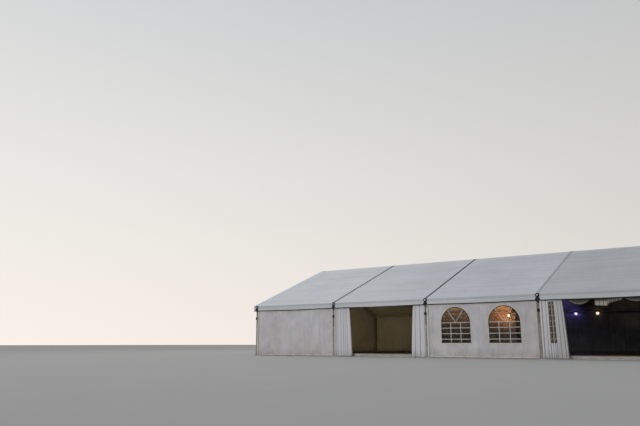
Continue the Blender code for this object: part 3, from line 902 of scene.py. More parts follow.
def wall_strap(side, label, number, x):
    """A webbing strap runs down the leg's face through a black ratchet buckle."""
    strap = Solids()
    for left, right, low, high, near, far, finish in STRAP_PARTS:
        low_y, high_y = sorted((side * (LEG_FRONT + near), side * (LEG_FRONT + far)))
        strap.box((x + left, low_y, BUCKLE_HEIGHT + low), (x + right, high_y, BUCKLE_HEIGHT + high),
                  finish)
    for height, reach in ((0.044, 0.026), (-0.044, 0.020)):
        strap.rod((side * (LEG_FRONT + reach), BUCKLE_HEIGHT + height), 0.012, "x", x - 0.048,
                  x + 0.048)
    strap.piece(f"{label}_wall_strap_{number}", [BLACK_METAL, WEBBING], "leg_aluminium",
                edge=0.0012)


def legs():
    for side, label in SIDES:
        for number, x in enumerate(FRAME_X, 1):
            leg(side, label, number, x)
            eave_cap(side, label, number, x + CAP_OFFSET)
            wall_strap(side, label, number, x + STRAP_OFFSET)


# Walls

WALL_FOLD = 0.024
WALL_PULL = 0.022
WALL_BELLY = 0.012
FLAT_EDGE = 0.35
PULL_REACH = 0.32
BAND_INSET = 0.03
TOP_BAND_DROP = 0.09
TOP_BAND_WIDTH = 0.03
HEAD_GAP = 0.02
EYELET_INSET = 0.25


def upright_grid(side, x_range, z_range, columns, rows, distance):
    """Points of an upright sheet, each at its distance from the tent's middle plane."""
    x, z = np.meshgrid(np.linspace(*x_range, columns), np.linspace(*z_range, rows))
    return points_at(x, side * distance(x, z), z)


def straight(x0, z0, x1, z1, width, steps):
    """The two edges of a straight strip between two points."""
    along = Vector((x1 - x0, z1 - z0)).normalized()
    across = Vector((-along.y, along.x)) * width / 2
    shares = [step / steps for step in range(steps + 1)]
    return [[(x0 + (x1 - x0) * share + edge * across.x, z0 + (z1 - z0) * share + edge * across.y)
             for share in shares] for edge in (-1, 1)]


def strips_area(strips):
    return sum((Vector(a[0]) - Vector(a[-1])).length * (Vector(a[0]) - Vector(b[0])).length
               for a, b in strips)


class Wall:
    """The hung wall of one bay: its edges, and how far its cloth stands out from its plane."""

    def __init__(self, side, label, bay, seed, calm=1.0):
        self.side = side
        self.label = label
        self.bay = bay
        self.left = FRAME_X[bay - 1] + LEG_WIDTH / 2 - WALL_LAP
        self.right = FRAME_X[bay] - LEG_WIDTH / 2 + WALL_LAP
        self.width = self.right - self.left
        self.calm = calm
        self.folds = ripple(seed, 7, (0.28, 1.1), (4.0, 14.0))
        self.creases = ripple(seed + 1, 6, (0.5, 1.8), (0.7, 2.4))
        self.pulls = ripple(seed + 2, 4, (0.46, 0.54), (6.0, 16.0))

    def name(self, part):
        return f"{self.label}_{part}_{self.bay}"

    def out(self, x, z):
        """Folds from the hooks and a slight belly, both flat at the edges."""
        edge = fade(np.minimum(x - self.left, self.right - x), FLAT_EDGE)
        low = fade(WALL_TOP - z, FLAT_EDGE)
        height = WALL_FOLD * self.folds(x, z) * (0.3 + 0.7 * low)
        height += WALL_FOLD * self.creases(x, z) * (0.5 + 0.5 * low)
        height += WALL_PULL * np.exp(-(WALL_TOP - z) / PULL_REACH) * self.pulls(x, z)
        belly = WALL_BELLY * np.sin(math.pi * (x - self.left) / self.width) * low
        return (height * self.calm + belly) * edge

    def face(self, x, z):
        return WALL_FRONT + self.out(x, z)

    def cloth(self, mesh, node, area=None):
        soft_piece(mesh, [WALL_CLOTH], (self.width, WALL_HEIGHT),
                   [f"{self.label}_eave_rail"], [self.name(node)])

    def strips(self, part, material, strips, flat, lift, thickness=FILM_SHEET, on="wall_cloth"):
        """One sheet of welded strips; each strip is a pair of lines with as many points each."""
        points = []
        faces = []
        for first, second in strips:
            start = len(points)
            count = len(first)
            points += first + second
            for i in range(start, start + count - 1):
                face = (i, i + 1, i + count + 1, i + count)
                (ax, az), (bx, bz), (cx, cz) = (points[corner] for corner in face[:3])
                turn = (bz - az) * (cx - ax) - (bx - ax) * (cz - az)
                faces.append(face[::-1] if turn * self.side < 0 else face)
        x, z = np.array(points).T
        points = points_at(x, self.side * (self.face(x, z) + lift), z)
        soft_piece(mesh_from(self.name(part), points, faces), [material], flat,
                   [self.name(on)], thickness=thickness)

    def hems(self):
        """A dark keder strip down the right edge, dark also as painted shade beside the leg, welded
        bands, and eyelets along the foot.
        """
        left = self.left + BAND_INSET
        right = self.right - BAND_INSET
        foot = WALL_BOTTOM + BAND_INSET
        head = WALL_TOP - HEAD_GAP
        upper = WALL_TOP - TOP_BAND_DROP
        # The right edge strip is a keder edge, dark also as painted shade beside the leg.
        edge = self.right - EDGE_STRIP_WIDTH / 2
        strip = straight(edge, WALL_BOTTOM, edge, head, EDGE_STRIP_WIDTH, 24)
        self.strips("wall_edge_strip", EDGE_STRIP_AND_SHADE, [strip], (EDGE_STRIP_WIDTH, WALL_HEIGHT), 0.0045)
        bands = [straight(left, foot, right, foot, BAND_WIDTH, 60),
                 straight(left, upper, right, upper, TOP_BAND_WIDTH, 60),
                 straight(left, foot + BAND_INSET, left, head, BAND_WIDTH, 24)]
        self.strips("wall_bands", TRIM_CLOTH, bands, (BAND_WIDTH, strips_area(bands) / BAND_WIDTH),
                    0.0030)
        eyelets = Solids()
        for x in np.linspace(self.left + EYELET_INSET, self.right - EYELET_INSET, EYELET_COUNT):
            y = self.side * (self.face(x, foot) + 0.005)
            eyelets.ring((x, y, foot), 0.014, 0.004, 14, 6)
        eyelets.piece(self.name("wall_eyelets"), [STEEL], "wall_pvc", smooth=True)


def plain_wall(side, label, bay, seed):
    wall = Wall(side, label, bay, seed)
    grid = upright_grid(side, (wall.left, wall.right), (WALL_BOTTOM, WALL_TOP), 150, 60, wall.face)
    wall.cloth(grid_mesh(wall.name("wall_cloth"), grid, side == BACK), "wall")
    wall.hems()


def storm_flap(side, label, bay):
    """The left edge of a wall has a flap that laps over the right part of the leg's face."""
    left = FRAME_X[bay - 1] + (LATE_FLAP_START if bay == LATE_FLAP_BAY else FLAP_START)
    lift = ripple(90 + bay, 4, (0.3, 0.6), (0.4, 1.2))

    def face(x, z):
        bulge = np.sin(math.pi * (x - left) / FLAP_WIDTH)
        return LEG_FRONT + 0.005 + 0.004 * bulge + 0.003 * lift(x, z)

    grid = upright_grid(side, (left, left + FLAP_WIDTH), (WALL_BOTTOM, FLAP_TOP), 7, 60, face)
    soft_piece(grid_mesh(f"{label}_storm_flap_{bay}", grid, side == BACK), [CURTAIN_CLOTH],
               (FLAP_WIDTH, FLAP_TOP - WALL_BOTTOM), [f"{label}_leg_profile_{bay}"],
               thickness=THIN_SHEET)


# Window walls

def walk(start, end, steps):
    """Points from a start up to the one before the end."""
    return [tuple(a + (b - a) * step / steps for a, b in zip(start, end)) for step in range(steps)]


def arch_line(centre, inset):
    """The outline of a window, inset from its edge: sill, right side, round head, left side."""
    radius = WINDOW_HALF - inset
    left = centre - radius
    right = centre + radius
    sill = WINDOW_SILL + inset
    points = walk((left, sill), (right, sill), 12)
    points += walk((right, sill), (right, WINDOW_SPRING), 10)
    points += round_points((centre, WINDOW_SPRING), radius, 0.0, math.pi, 36)
    return points + walk((left, WINDOW_SPRING), (left, sill), 10)[1:]


def in_window(x, z, centre, inset=0.0):
    radius = WINDOW_HALF - inset
    if abs(x - centre) >= radius or z <= WINDOW_SILL + inset:
        return False
    return z <= WINDOW_SPRING or math.hypot(x - centre, z - WINDOW_SPRING) < radius


def window_wall_mesh(wall, centres):
    """A wall of triangles that follow the edges of its two windows."""
    columns = round(wall.width / MESH_STEP)
    rows = round(WALL_HEIGHT / MESH_STEP)
    corners = rectangle(wall.left, wall.right, WALL_BOTTOM, WALL_TOP)
    outer = []
    for start, end, steps in zip(corners, corners[1:] + corners[:1], (columns, rows) * 2):
        outer += walk(start, end, steps)
    points = []
    edges = []
    for loop in (outer, *(arch_line(centre, 0.0) for centre in centres)):
        start = len(points)
        points += loop
        edges += [(start + i, start + (i + 1) % len(loop)) for i in range(len(loop))]
    for i in range(1, columns):
        for j in range(1, rows):
            x = wall.left + wall.width * i / columns + 0.25 * MESH_STEP * (j % 2)
            z = WALL_BOTTOM + WALL_HEIGHT * j / rows
            if not any(in_window(x, z, centre, -0.02) for centre in centres):
                points.append((x, z))
    found, _, faces, _, _, _ = delaunay_2d_cdt([Vector(p) for p in points], edges, [], 1, 1e-6)
    kept = []
    for face in faces:
        x = sum(found[corner].x for corner in face) / 3
        z = sum(found[corner].y for corner in face) / 3
        if not any(in_window(x, z, centre) for centre in centres):
            kept.append(face if wall.side == FRONT else face[::-1])
    x, z = np.array(found).T
    return mesh_from(wall.name("wall_cloth"), points_at(x, wall.side * wall.face(x, z), z), kept)


def window_bars(centre):
    """The bars of a window: a bar at the spring line, two uprights, three crossbars and a fan."""
    left = centre - WINDOW_HALF
    right = centre + WINDOW_HALF
    strips = [straight(left, WINDOW_SPRING, right, WINDOW_SPRING, BAR_WIDTH, 20)]
    for x in (centre - BAR_OFFSET, centre + BAR_OFFSET):
        strips.append(straight(x, WINDOW_SILL, x, WINDOW_SPRING, BAR_WIDTH, 12))
    for z in BAR_HEIGHTS:
        strips.append(straight(left, z, right, z, BAR_WIDTH, 20))
    for turn in (-FAN_ANGLE, FAN_ANGLE):
        strips.append(straight(centre, WINDOW_SPRING, centre + WINDOW_HALF * math.sin(turn),
                               WINDOW_SPRING + WINDOW_HALF * math.cos(turn), FAN_WIDTH, 12))
    return strips


def window_band(wall, centres, part, material, inset, width, lift, thickness):
    """A band round both windows, from one inset to another."""
    strips = []
    for centre in centres:
        lines = (arch_line(centre, inset), arch_line(centre, inset + width))
        strips.append([line + line[:1] for line in lines])
    around = 2 * (WINDOW_SPRING - WINDOW_SILL) + WINDOW_WIDTH + math.pi * WINDOW_HALF
    wall.strips(part, material, strips, (width, 2 * around), lift, thickness)


def clear_sheet(wall, seed):
    node = wall.name("window_sheet")
    low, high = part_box(node)
    film = ripple(seed, 6, (0.35, 1.2), (0.5, 1.5))

    def face(x, z):
        return WALL_BACK + wall.out(x, z) + 0.0012 * film(x, z) - 0.0016

    grid = upright_grid(wall.side, (low.x, high.x), (low.z, high.z), 90, 40, face)
    soft_piece(grid_mesh(wall.name("clear_sheet"), grid, wall.side == BACK), [CLEAR_FILM],
               (high.x - low.x, high.z - low.z), [wall.name("wall_cloth")], [node],
               thickness=FILM_SHEET)


def window_wall(side, label, bay, seed):
    wall = Wall(side, label, bay, seed, 0.75)
    middle = (FRAME_X[bay - 1] + FRAME_X[bay]) / 2 + WINDOW_SHIFT
    centres = (middle - WINDOW_SPACING / 2, middle + WINDOW_SPACING / 2)
    hole = WINDOW_WIDTH * (WINDOW_SPRING - WINDOW_SILL) + math.pi * WINDOW_HALF ** 2 / 2
    wall.cloth(window_wall_mesh(wall, centres), "window_wall", wall.width * WALL_HEIGHT - 2 * hole)
    wall.hems()
    # Painted shade: a dark brown band just inside each window's edge; the trim tape lies round it.
    window_band(wall, centres, "window_edging", WINDOW_EDGE_SHADE, TRIM_INSIDE, EDGE_SHADE_WIDTH, -0.0040,
                FILM_SHEET)
    window_band(wall, centres, "window_trim", TRIM_CLOTH, TRIM_INSIDE - TRIM_WIDTH, TRIM_WIDTH,
                0.0032, THIN_SHEET)
    bars = window_bars(centres[0]) + window_bars(centres[1])
    wall.strips("window_bars", TRIM_CLOTH, bars, (BAR_WIDTH, strips_area(bars) / BAR_WIDTH),
                WALL_BACK - WALL_FRONT + 0.0040, THIN_SHEET, "clear_sheet")
    clear_sheet(wall, seed + 7)


# Walls drawn aside

# SHADED_PLEAT pleats get the greyer curtain cloth, as painted shade.
CLOTH, WINDOW, FOLDED_BAR, SHADED_PLEAT = range(4)
CURTAIN_FINISHES = [CURTAIN_CLOTH, DARK_FILM, FOLDED_BAR_CLOTH, SHADED_CURTAIN_CLOTH]
CURTAIN_FRONT = 6.358
CURTAIN_ROWS = 68
CURTAIN_SPREAD = 0.15
PLEAT_DEPTH = 0.075
FOLDED_WINDOW_TOP = 2.27
FOLDED_BAR_HALF = 0.019
FOLDED_BAR_HEIGHTS = (WINDOW_SPRING, *BAR_HEIGHTS, WINDOW_SPRING + 0.22, WINDOW_SPRING + 0.44,
                      WINDOW_SPRING + 0.62)

# Frame, direction from its leg, the runner's distance, and each pleat's width, roundness and cloth
CURTAINS = {
    "2_left": (1, 1, 0.145, [
        (0.145, 8, CLOTH), (0.17, 5, CLOTH), (0.13, 4, CLOTH), (0.10, 5, CLOTH), (0.09, 4, CLOTH),
        (0.16, 6, CLOTH)]),
    "2_right": (2, -1, 0.265, [
        (0.045, 4, CLOTH), (0.22, 9, CLOTH), (0.205, 9, CLOTH), (0.125, 6, CLOTH)]),
    "4_left": (3, 1, 0.215, [
        (0.205, 7, CLOTH), (0.100, 5, CLOTH), (0.088, 3, WINDOW), (0.058, 5, FOLDED_BAR),
        (0.052, 3, WINDOW), (0.135, 9, SHADED_PLEAT), (0.120, 10, SHADED_PLEAT), (0.071, 4, SHADED_PLEAT)]),
    "4_right": (4, -1, 0.22, [
        (0.10, 8, CLOTH), (0.12, 6, CLOTH), (0.070, 3, WINDOW), (0.065, 5, FOLDED_BAR),
        (0.060, 3, WINDOW), (0.105, 9, SHADED_PLEAT), (0.080, 6, SHADED_PLEAT)]),
}


def pleat_plan(pleats):
    """The plan of a gathered wall: distance from the leg, depth, and the kind of cloth."""
    distance = [0.0]
    depth = [PLEAT_DEPTH]
    kinds = []
    along = 0.0
    for width, roundness, kind in pleats:
        steps = max(10, round(width / 0.010))
        for step in range(1, steps + 1):
            share = step / steps
            overhang = 0.10 * width * math.sin(2 * math.pi * share)
            distance.append(along + width * share - overhang)
            depth.append(PLEAT_DEPTH * abs(2 * share - 1) ** roundness)
            kinds.append(kind)
        along += width
    return np.array(distance), np.array(depth), kinds, along


def curtain_finish(kind, z):
    """White cloth, plain or greyed as painted shade, folded clear film, or a bar across it."""
    if kind in (CLOTH, SHADED_PLEAT):
        return kind
    if not WINDOW_SILL < z < FOLDED_WINDOW_TOP:
        return CLOTH
    across = any(abs(z - height) < FOLDED_BAR_HALF for height in FOLDED_BAR_HEIGHTS)
    return FOLDED_BAR if kind == FOLDED_BAR or across else WINDOW


def curtain(place, start, direction, pleats, seed):
    """A wall gathered in pleats beside a leg."""
    distance, depth, kinds, total = pleat_plan(pleats)
    sway = ripple(seed, 5, (0.12, 0.45), (1.5, 6.0))
    small = ripple(seed + 5, 6, (0.030, 0.070), (3.0, 12.0))
    heights = np.linspace(WALL_BOTTOM, WALL_TOP, CURTAIN_ROWS)
    rows = []
    for z in heights:
        fall = (WALL_TOP - z) / WALL_HEIGHT
        flare = CURTAIN_SPREAD * fall ** 0.7 * (distance / total) ** 2.5
        reach = np.maximum(distance + flare + 0.012 * fall * sway(distance, z), 0.001)
        inward = depth * (0.80 + 0.20 * fall) + 0.004 * (1 + small(distance, z))
        rows.append(points_at(start + direction * reach, inward - CURTAIN_FRONT, z))
    mesh = grid_mesh(f"front_curtain_cloth_{place}", rows, direction < 0)
    middles = (heights[:-1] + heights[1:]) / 2
    finishes = [curtain_finish(kind, z) for z in middles for kind in kinds]
    mesh.polygons.foreach_set("material_index", finishes)
    unfolded = sum(polygon.area for polygon in mesh.polygons) / WALL_HEIGHT
    soft_piece(mesh, CURTAIN_FINISHES, (unfolded, WALL_HEIGHT),
               ["front_eave_rail"], [f"front_curtain_{place}"])


def curtains():
    """The walls of both doorways, each with a runner on the eave rail."""
    runners = Solids()
    for seed, (place, settings) in enumerate(CURTAINS.items(), 11):
        frame_index, direction, runner, pleats = settings
        start = FRAME_X[frame_index] + direction * LEG_WIDTH / 2
        curtain(place, start, direction, pleats, seed)
        x = start + direction * runner
        runners.box((x - 0.020, -CURTAIN_FRONT - 0.012, 2.290), (x + 0.020, -6.345, 2.400))
        runners.rod((-CURTAIN_FRONT - 0.006, 2.345), 0.014, "x", x - 0.026, x + 0.026)
    runners.piece("curtain_runners", [BLACK_METAL], "frame_aluminium", edge=0.002)


# Pelmet

SWAGS = ((3.655, 0.200), (5.70, 0.150))
SWAG_SPAN = 0.83
CASCADE_STARTS = (4.640, 6.70)
CASCADE_SPAN = 0.98
CASCADE_TURN = 0.42
CASCADE_PLEAT = 0.030
CASCADE_DROPS = ([0.0, CASCADE_TURN, 0.50, CASCADE_SPAN], [0.345, 0.375, 0.275, 0.155])
PELMET_Y = -6.362
PELMET_DROP = 0.42


def swag_grid(start, depth):
    """A crescent of stacked folds, lowest in its middle."""
    xs = np.linspace(start, start + SWAG_SPAN, 56)
    shape = np.maximum(np.sin(math.pi * (xs - start) / SWAG_SPAN), 0.0) ** 0.8
    rows = []
    for share in np.arange(41) / 40:
        folds = 0.014 * np.sin(2 * math.pi * 5 * share ** 0.9) * (0.2 + 0.8 * shape)
        y = PELMET_Y + 0.045 - 0.040 * share * shape - folds
        rows.append(points_at(xs, y, WALL_TOP - share * (0.085 + depth * shape)))
    return np.array(rows)


def cascade_grid(start, end):
    """A pleated tail whose hem is level at first, then climbs towards the next swag."""
    xs = np.linspace(start, end, round((end - start) / CASCADE_PLEAT) * 6 + 1)
    drop = np.interp(xs - start, *CASCADE_DROPS)
    phase = 2 * math.pi * (xs - start) / (2.4 * CASCADE_PLEAT)
    rows = []
    for share in np.arange(25) / 24:
        x = xs + 0.008 * np.sin(2 * phase) * share
        y = PELMET_Y + 0.012 - 0.015 * np.cos(phase) * (0.45 + 0.55 * share)
        rows.append(points_at(x, y, WALL_TOP - share * (drop + 0.010 * np.cos(phase))))
    return np.array(rows)


def pelmet():
    """Swags of ivory cloth with crescent folds, and pleated cascades beside them, with painted
    light and shade on each point.
    """
    cloth = Solids()
    painted_light = []

    def add(grid, lit_shares):
        cloth.add(grid.reshape(-1, 3).tolist(), grid_faces(grid, True))
        painted_light.extend(np.broadcast_to(lit_shares, grid.shape[:2]).ravel().tolist())

    for start, depth in SWAGS:
        grid = swag_grid(start, depth)
        # Painted shade: each swag is dark under the valance and lit only towards its hem.
        add(grid, 0.02 + 0.45 * np.linspace(0.0, 1.0, len(grid))[:, None] ** 8)
    for start in CASCADE_STARTS:
        grid = cascade_grid(start, min(start + CASCADE_SPAN, high_corner("door_pelmet_4").x))
        down = np.linspace(0.0, 1.0, len(grid))[:, None]
        along = grid[:, :, 0] - start
        # Painted shade: each cascade is dark under the valance, darker where it turns and in every
        # pleat's hollow.
        turned = fade(along - CASCADE_TURN, 0.10)
        pleats = 0.5 + 0.5 * np.sin(2 * math.pi * along / 0.135)
        add(grid, fade(down - 0.38, 0.30) * (0.86 - 0.52 * turned) * (1 - 0.42 * pleats))
    mesh = mesh_from("door_pelmet_cloth_4", cloth.points, cloth.faces)
    mesh.attributes.new("painted_light", "FLOAT", "POINT").data.foreach_set("value", painted_light)
    area = sum(polygon.area for polygon in mesh.polygons)
    soft_piece(mesh, [SHADE_PAINTED_IVORY], (PELMET_DROP, area / PELMET_DROP),
               ["front_eave_rail"], ["door_pelmet_4"], THIN_SHEET)


# Gables, floor and linings

ZIP_Y = 2.13
SEAM_WIDTH = 0.045
SEAM_DEPTH = 0.004
PANEL_LENGTH = 2.40
PANEL_WIDTH = 1.20
PANEL_THICKNESS = 0.021
PANEL_GAP = 0.003
EDGE_BOARD = 0.018
BEARER_HALF = 0.03
BEARER_FIELDS = 20


def gable(end, label):
    """The cloth of a gable, with upright welds and the two zips of its middle panel."""
    node = f"{label}_gable_sheet"
    low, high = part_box(node)
    outer = (low if end < 0 else high).x
    half = high.y
    edge = high.z - half * math.tan(SLOPE)
    folds = ripple(70 + end, 8, (0.4, 1.6), (3.0, 9.0))
    creases = ripple(75 + end, 6, (0.8, 2.4), (0.8, 2.4))

    def top(y):
        return edge + (high.z - edge) * (1 - np.abs(y) / half)

    def face(y, share, lift=0.0):
        inside = fade(half - np.abs(y), 0.6) * np.sin(math.pi * share) ** 0.5
        out = inside * (0.020 + 0.022 * folds(y, share * 3) + 0.022 * creases(y, share * 3))
        return outer + end * (out - 0.002 + lift)

    ys = np.linspace(-half, half, 201)
    rows = [points_at(face(ys, share), ys, low.z + (top(ys) - low.z) * share)
            for share in np.arange(61) / 60]
    soft_piece(grid_mesh(f"{label}_gable_cloth", rows, end > 0), [WALL_CLOTH],
               (2 * half, high.z - low.z), [f"rafter_pair_{1 if end < 0 else BAY_COUNT + 1}"],
               [node])
    bands = Solids()
    for y in (-5.0, -ZIP_Y, 0.0, ZIP_Y, 5.0):
        foot = low.z + 0.01
        height = top(y) - 0.03 - foot
        section = rectangle(-SEAM_WIDTH / 2, SEAM_WIDTH / 2, 0.0, SEAM_DEPTH)
        rings = [[(face(y + across, share, lift), y + across, foot + height * share)
                  for across, lift in section] for share in np.arange(41) / 40]
        bands.tube(rings, int(abs(y) == ZIP_Y), end > 0)
    bands.piece(f"{label}_gable_bands", [TRIM_CLOTH, HEM_CLOTH], "wall_pvc")


def floor_boards():
    """Plywood panels on a cassette floor, with boards round its edge and bearers between."""
    low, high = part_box("floor")
    panels = Solids()
    for i in range(math.ceil((high.x - low.x) / PANEL_LENGTH)):
        for j in range(math.ceil((high.y - low.y) / PANEL_WIDTH)):
            x = low.x + i * PANEL_LENGTH
            y = low.y + j * PANEL_WIDTH
            panels.box((x + PANEL_GAP, y + PANEL_GAP, high.z - PANEL_THICKNESS),
                       (min(high.x, x + PANEL_LENGTH) - PANEL_GAP,
                        min(high.y, y + PANEL_WIDTH) - PANEL_GAP, high.z))
    panels.piece("floor_panels", [PLYWOOD], "floor_board", ["floor"], 0.0015)
    low_y = low.y + EDGE_BOARD
    high_y = high.y - EDGE_BOARD
    boards = [(low.x, high.x, low.y, low_y), (low.x, high.x, high_y, high.y),
              (low.x, low.x + EDGE_BOARD, low_y, high_y),
              (high.x - EDGE_BOARD, high.x, low_y, high_y)]
    for i in range(1, BEARER_FIELDS):
        x = low.x + (high.x - low.x) * i / BEARER_FIELDS
        boards.append((x - BEARER_HALF, x + BEARER_HALF, low_y, high_y))
    edge = Solids()
    for x0, x1, y0, y1 in boards:
        edge.box((x0, y0, 0.0), (x1, y1, high.z - PANEL_THICKNESS - 0.001))
    edge.piece("floor_edge_and_bearers", [STEP_EDGE], "floor_board", ["floor"], 0.002)


def linings():
    """Black cloth hung on the back wall and swagged under the roof, dark also as painted shade of
    the unlit inside; the ceiling's cloth is a darker copy, as painted shade.
    """
    low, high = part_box("dark_wall_lining")
    folds = ripple(81, 7, (0.10, 0.30), (6.0, 20.0))
    xs = np.linspace(low.x, high.x, 700)
    rows = [points_at(xs, low.y - 0.020 + 0.018 * folds(xs, z), z)
            for z in np.linspace(low.z, high.z, 16)]
    soft_piece(grid_mesh("dark_wall_cloth", rows), [BLACK_LINING_AND_SHADE],
               ((high.x - low.x) * 1.12, high.z - low.z), ["back_leg_4", "back_leg_5"],
               ["dark_wall_lining"], thickness=THIN_SHEET)
    low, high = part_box("dark_roof_lining")
    y, x = np.meshgrid(np.linspace(-high.y, high.y, 161), np.linspace(low.x, high.x, 181))
    between = np.abs(np.sin(math.pi * (x - FRAME_X[3]) / (FRAME_X[4] - FRAME_X[3])))
    swags = 0.02 + 0.02 * np.sin(2 * math.pi * y / 0.9)
    z = RAFTER_UNDERSIDE_APEX - 0.006 - np.abs(y) * math.tan(SLOPE)
    z -= between * swags * fade(high.y - np.abs(y), 0.5)
    soft_piece(grid_mesh("dark_roof_cloth", points_at(x, y, z)), [SHADED_CEILING_CLOTH],
               (2 * high.y / math.cos(SLOPE), high.x - low.x),
               [f"rafter_pair_{number}" for number in (3, 4, 5, 6)], ["dark_roof_lining"],
               thickness=THIN_SHEET)


def fixed_parts():
    """The CAD pieces whose shape is right get their finish here."""
    for name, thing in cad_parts.items():
        bar = name.startswith("rafter") or "purlin" in name or "rail" in name
        if bar or "gable_post" in name:
            for slot in thing.material_slots:
                slot.material = FRAME_METAL if bar else LEG_METAL


# Lamps and lights

LAMP_Y = 6.08
LAMP_Z = 2.30
LAMP_RADIUS = 0.085
GLOBE_RINGS = 12
GLOBE_SIDES = 16
LAMPS = (
    ("lamp_window", -2.90, WARM_GLOW, (1.0, 0.40, 0.14), 3.5),
    ("lamp_door_violet", 1.05, VIOLET_GLOW, (0.24, 0.18, 1.0), 2.6),
    ("lamp_door_warm", 2.22, WARM_GLOW, (1.0, 0.50, 0.24), 0.5),
)


def shine(kind, name, place, target, power, tint, **settings):
    """A light at a place, turned towards a target where it has one."""
    light = bpy.data.lights.new(name, kind)
    light.energy = power
    light.color = tint
    for key, value in settings.items():
        setattr(light, key, value)
    thing = bpy.data.objects.new(name, light)
    thing.visible_camera = False
    thing.location = place
    if target:
        towards = Vector(target) - Vector(place)
        thing.rotation_euler = towards.to_track_quat("-Z", "Y").to_euler()
    add_to_scene(thing)


def softbox(name, place, target, size, power, tint, height=None):
    """A round softbox, or a strip where a height is given."""
    shape = {"shape": "RECTANGLE", "size_y": height} if height else {"shape": "DISK"}
    shine("AREA", name, place, target, power, tint, size=size, **shape)


def beam(name, place, target, angle, power, tint, radius):
    """A soft-edged spotlight from one place towards another."""
    shine("SPOT", name, place, target, power, tint, spot_size=math.radians(angle), spot_blend=1.0,
          shadow_soft_size=radius)


def lamps():
    """Small lamps on arms from the back eave rail light the inside."""
    for name, x, glow, tint, power in LAMPS:
        lamp = Solids()
        lamp.box((x - 0.012, LAMP_Y - 0.012, 2.425), (x + 0.012, RAIL_BACK, 2.449))
        lamp.rod((x, LAMP_Y), 0.020, "z", LAMP_Z + LAMP_RADIUS - 0.010, 2.425, 14)
        lamp.rod((x, LAMP_Y), 0.036, "z", LAMP_Z + LAMP_RADIUS - 0.012, 2.405, 14)
        rings = []
        for ring in range(GLOBE_RINGS + 1):
            angle = math.pi * ring / GLOBE_RINGS
            circle = disc((x, LAMP_Y), 0.001 + LAMP_RADIUS * math.sin(angle), GLOBE_SIDES)
            rings.append([(*point, LAMP_Z - LAMP_RADIUS * math.cos(angle)) for point in circle])
        lamp.tube(rings, 1)
        lamp.piece(name, [BLACK_METAL, glow], "frame_aluminium", smooth=True)
        shine("POINT", f"{name}_light", (x, LAMP_Y - LAMP_RADIUS - 0.07, LAMP_Z), None, power,
              tint, shadow_soft_size=0.05)


def lights():
    """Soft light from above and in front, and washes and beams inside."""
    softbox("top_softbox", (-22, 5, 26), (-9, -3, 4), 16, 1000, (1.0, 0.98, 0.95))
    beam("front_spot", (-30, -66, 9), (0, -6, 2), 60, 36000.0, (1.0, 0.985, 0.985), 12.0)
    softbox("eave_wash", (-7.0, 5.6, 2.50), (-7.0, 6.4, 2.85), 3.2, 3.1, (1.0, 0.58, 0.30), 0.15)
    softbox("lamp_wash", (-3.8, 5.6, 2.50), (-3.8, 6.4, 2.85), 1.6, 3.3, (1.0, 0.38, 0.12), 0.15)
    beam("door_beam", (-9.4, -1.0, 1.5), (-12.0, 5.6, 1.7), 64, 180.0, (1.0, 0.74, 0.34), 0.3)
    beam("violet_beam", (0.9, 3.0, 1.4), (0.2, 5.2, 2.9), 55, 270.0, (0.42, 0.33, 1.0), 0.3)
    beam("lamp_beam", (-2.9, 4.9, 2.10), (-3.15, 6.2, 2.20), 52, 33.0, (1.0, 0.37, 0.12), 0.1)
    for number, x in enumerate((4.0, 7.0), 1):
        beam(f"ceiling_beam_{number}", (x, 4.9, 0.5), (x, 5.4, 2.9), 100, 20.0, (1.0, 0.87, 0.70),
             0.1)


# Stage and camera

SKY_HORIZON = (0.84, 0.775, 0.72)
SKY_LOW = (0.716, 0.708, 0.680)
SKY_MIDDLE = (0.59, 0.597, 0.61)
SKY_OVERHEAD = (0.34, 0.37, 0.43)
SKY_SIDE = {"From Min": -1.0, "From Max": 0.6, "To Min": 1.174, "To Max": 0.726}


def stage():
    reach = 260.0
    corners = rectangle(-reach, reach, -reach, reach)
    mesh = mesh_from("stage_floor", [(*corner, 0.0) for corner in corners], [(0, 1, 2, 3)], False)
    floor = bpy.data.objects.new("stage_floor", mesh)
    add_to_scene(floor)
    graph = Graph("stage_floor_paint")
    graph.two_tone(graph.noise(0.8), (0.50, 0.49, 0.47), (0.55, 0.54, 0.52), 0.8, 0.95)
    mesh.materials.append(graph.material)


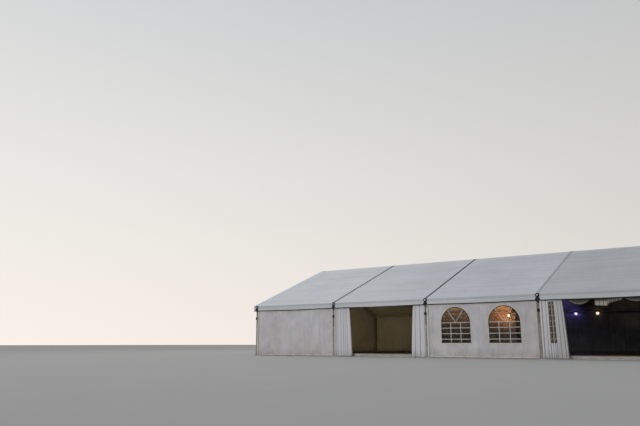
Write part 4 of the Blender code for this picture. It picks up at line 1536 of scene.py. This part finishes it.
def sky():
    """A plain backdrop: warm and pale at the horizon, darker overhead, brighter at the left."""
    world = bpy.data.worlds.new("studio")
    bpy.context.scene.world = world
    world.use_nodes = True
    nodes = world.node_tree.nodes
    link = world.node_tree.links.new
    parts = nodes.new("ShaderNodeSeparateXYZ")
    link(nodes.new("ShaderNodeTexCoord").outputs["Generated"], parts.inputs[0])
    side = nodes.new("ShaderNodeMapRange")
    link(parts.outputs["X"], side.inputs["Value"])
    for name, value in SKY_SIDE.items():
        side.inputs[name].default_value = value
    link(side.outputs["Result"], nodes["Background"].inputs["Strength"])
    ramp = nodes.new("ShaderNodeValToRGB")
    link(parts.outputs["Z"], ramp.inputs[0])
    link(ramp.outputs["Color"], nodes["Background"].inputs["Color"])
    elements = ramp.color_ramp.elements
    elements[0].color = (*SKY_HORIZON, 1)
    elements[1].color = (*SKY_OVERHEAD, 1)
    elements.new(0.26).color = (*SKY_LOW, 1)
    elements.new(0.51).color = (*SKY_MIDDLE, 1)


def camera():
    lens = bpy.data.cameras.new("picture_camera")
    lens.sensor_width = 36.0
    lens.lens = 34.902
    lens.clip_start = 0.1
    lens.clip_end = 2000.0
    thing = bpy.data.objects.new("picture_camera", lens)
    thing.location = (9.89, -32.27, 0.596)
    thing.rotation_euler = (math.radians(101.903), 0.0, math.radians(35.167))
    add_to_scene(thing)
    bpy.context.scene.camera = thing


def main():
    roof_sheets()
    valance_hems()
    gable_flaps()
    tracks()
    ridge_caps()
    legs()
    plain_wall(FRONT, "front", 1, 21)
    plain_wall(FRONT, "front", 5, 25)
    window_wall(FRONT, "front", 3, 23)
    for bay in (1, 2, 4, 5):
        plain_wall(BACK, "back", bay, 40 + bay)
    window_wall(BACK, "back", 3, 43)
    for side, label in SIDES:
        for bay in BAYS:
            storm_flap(side, label, bay)
    curtains()
    pelmet()
    for end, label in ENDS:
        gable(end, label)
    floor_boards()
    linings()
    lamps()
    fixed_parts()
    stage()
    sky()
    lights()
    camera()
    bpy.context.scene.view_settings.view_transform = "Standard"


main()
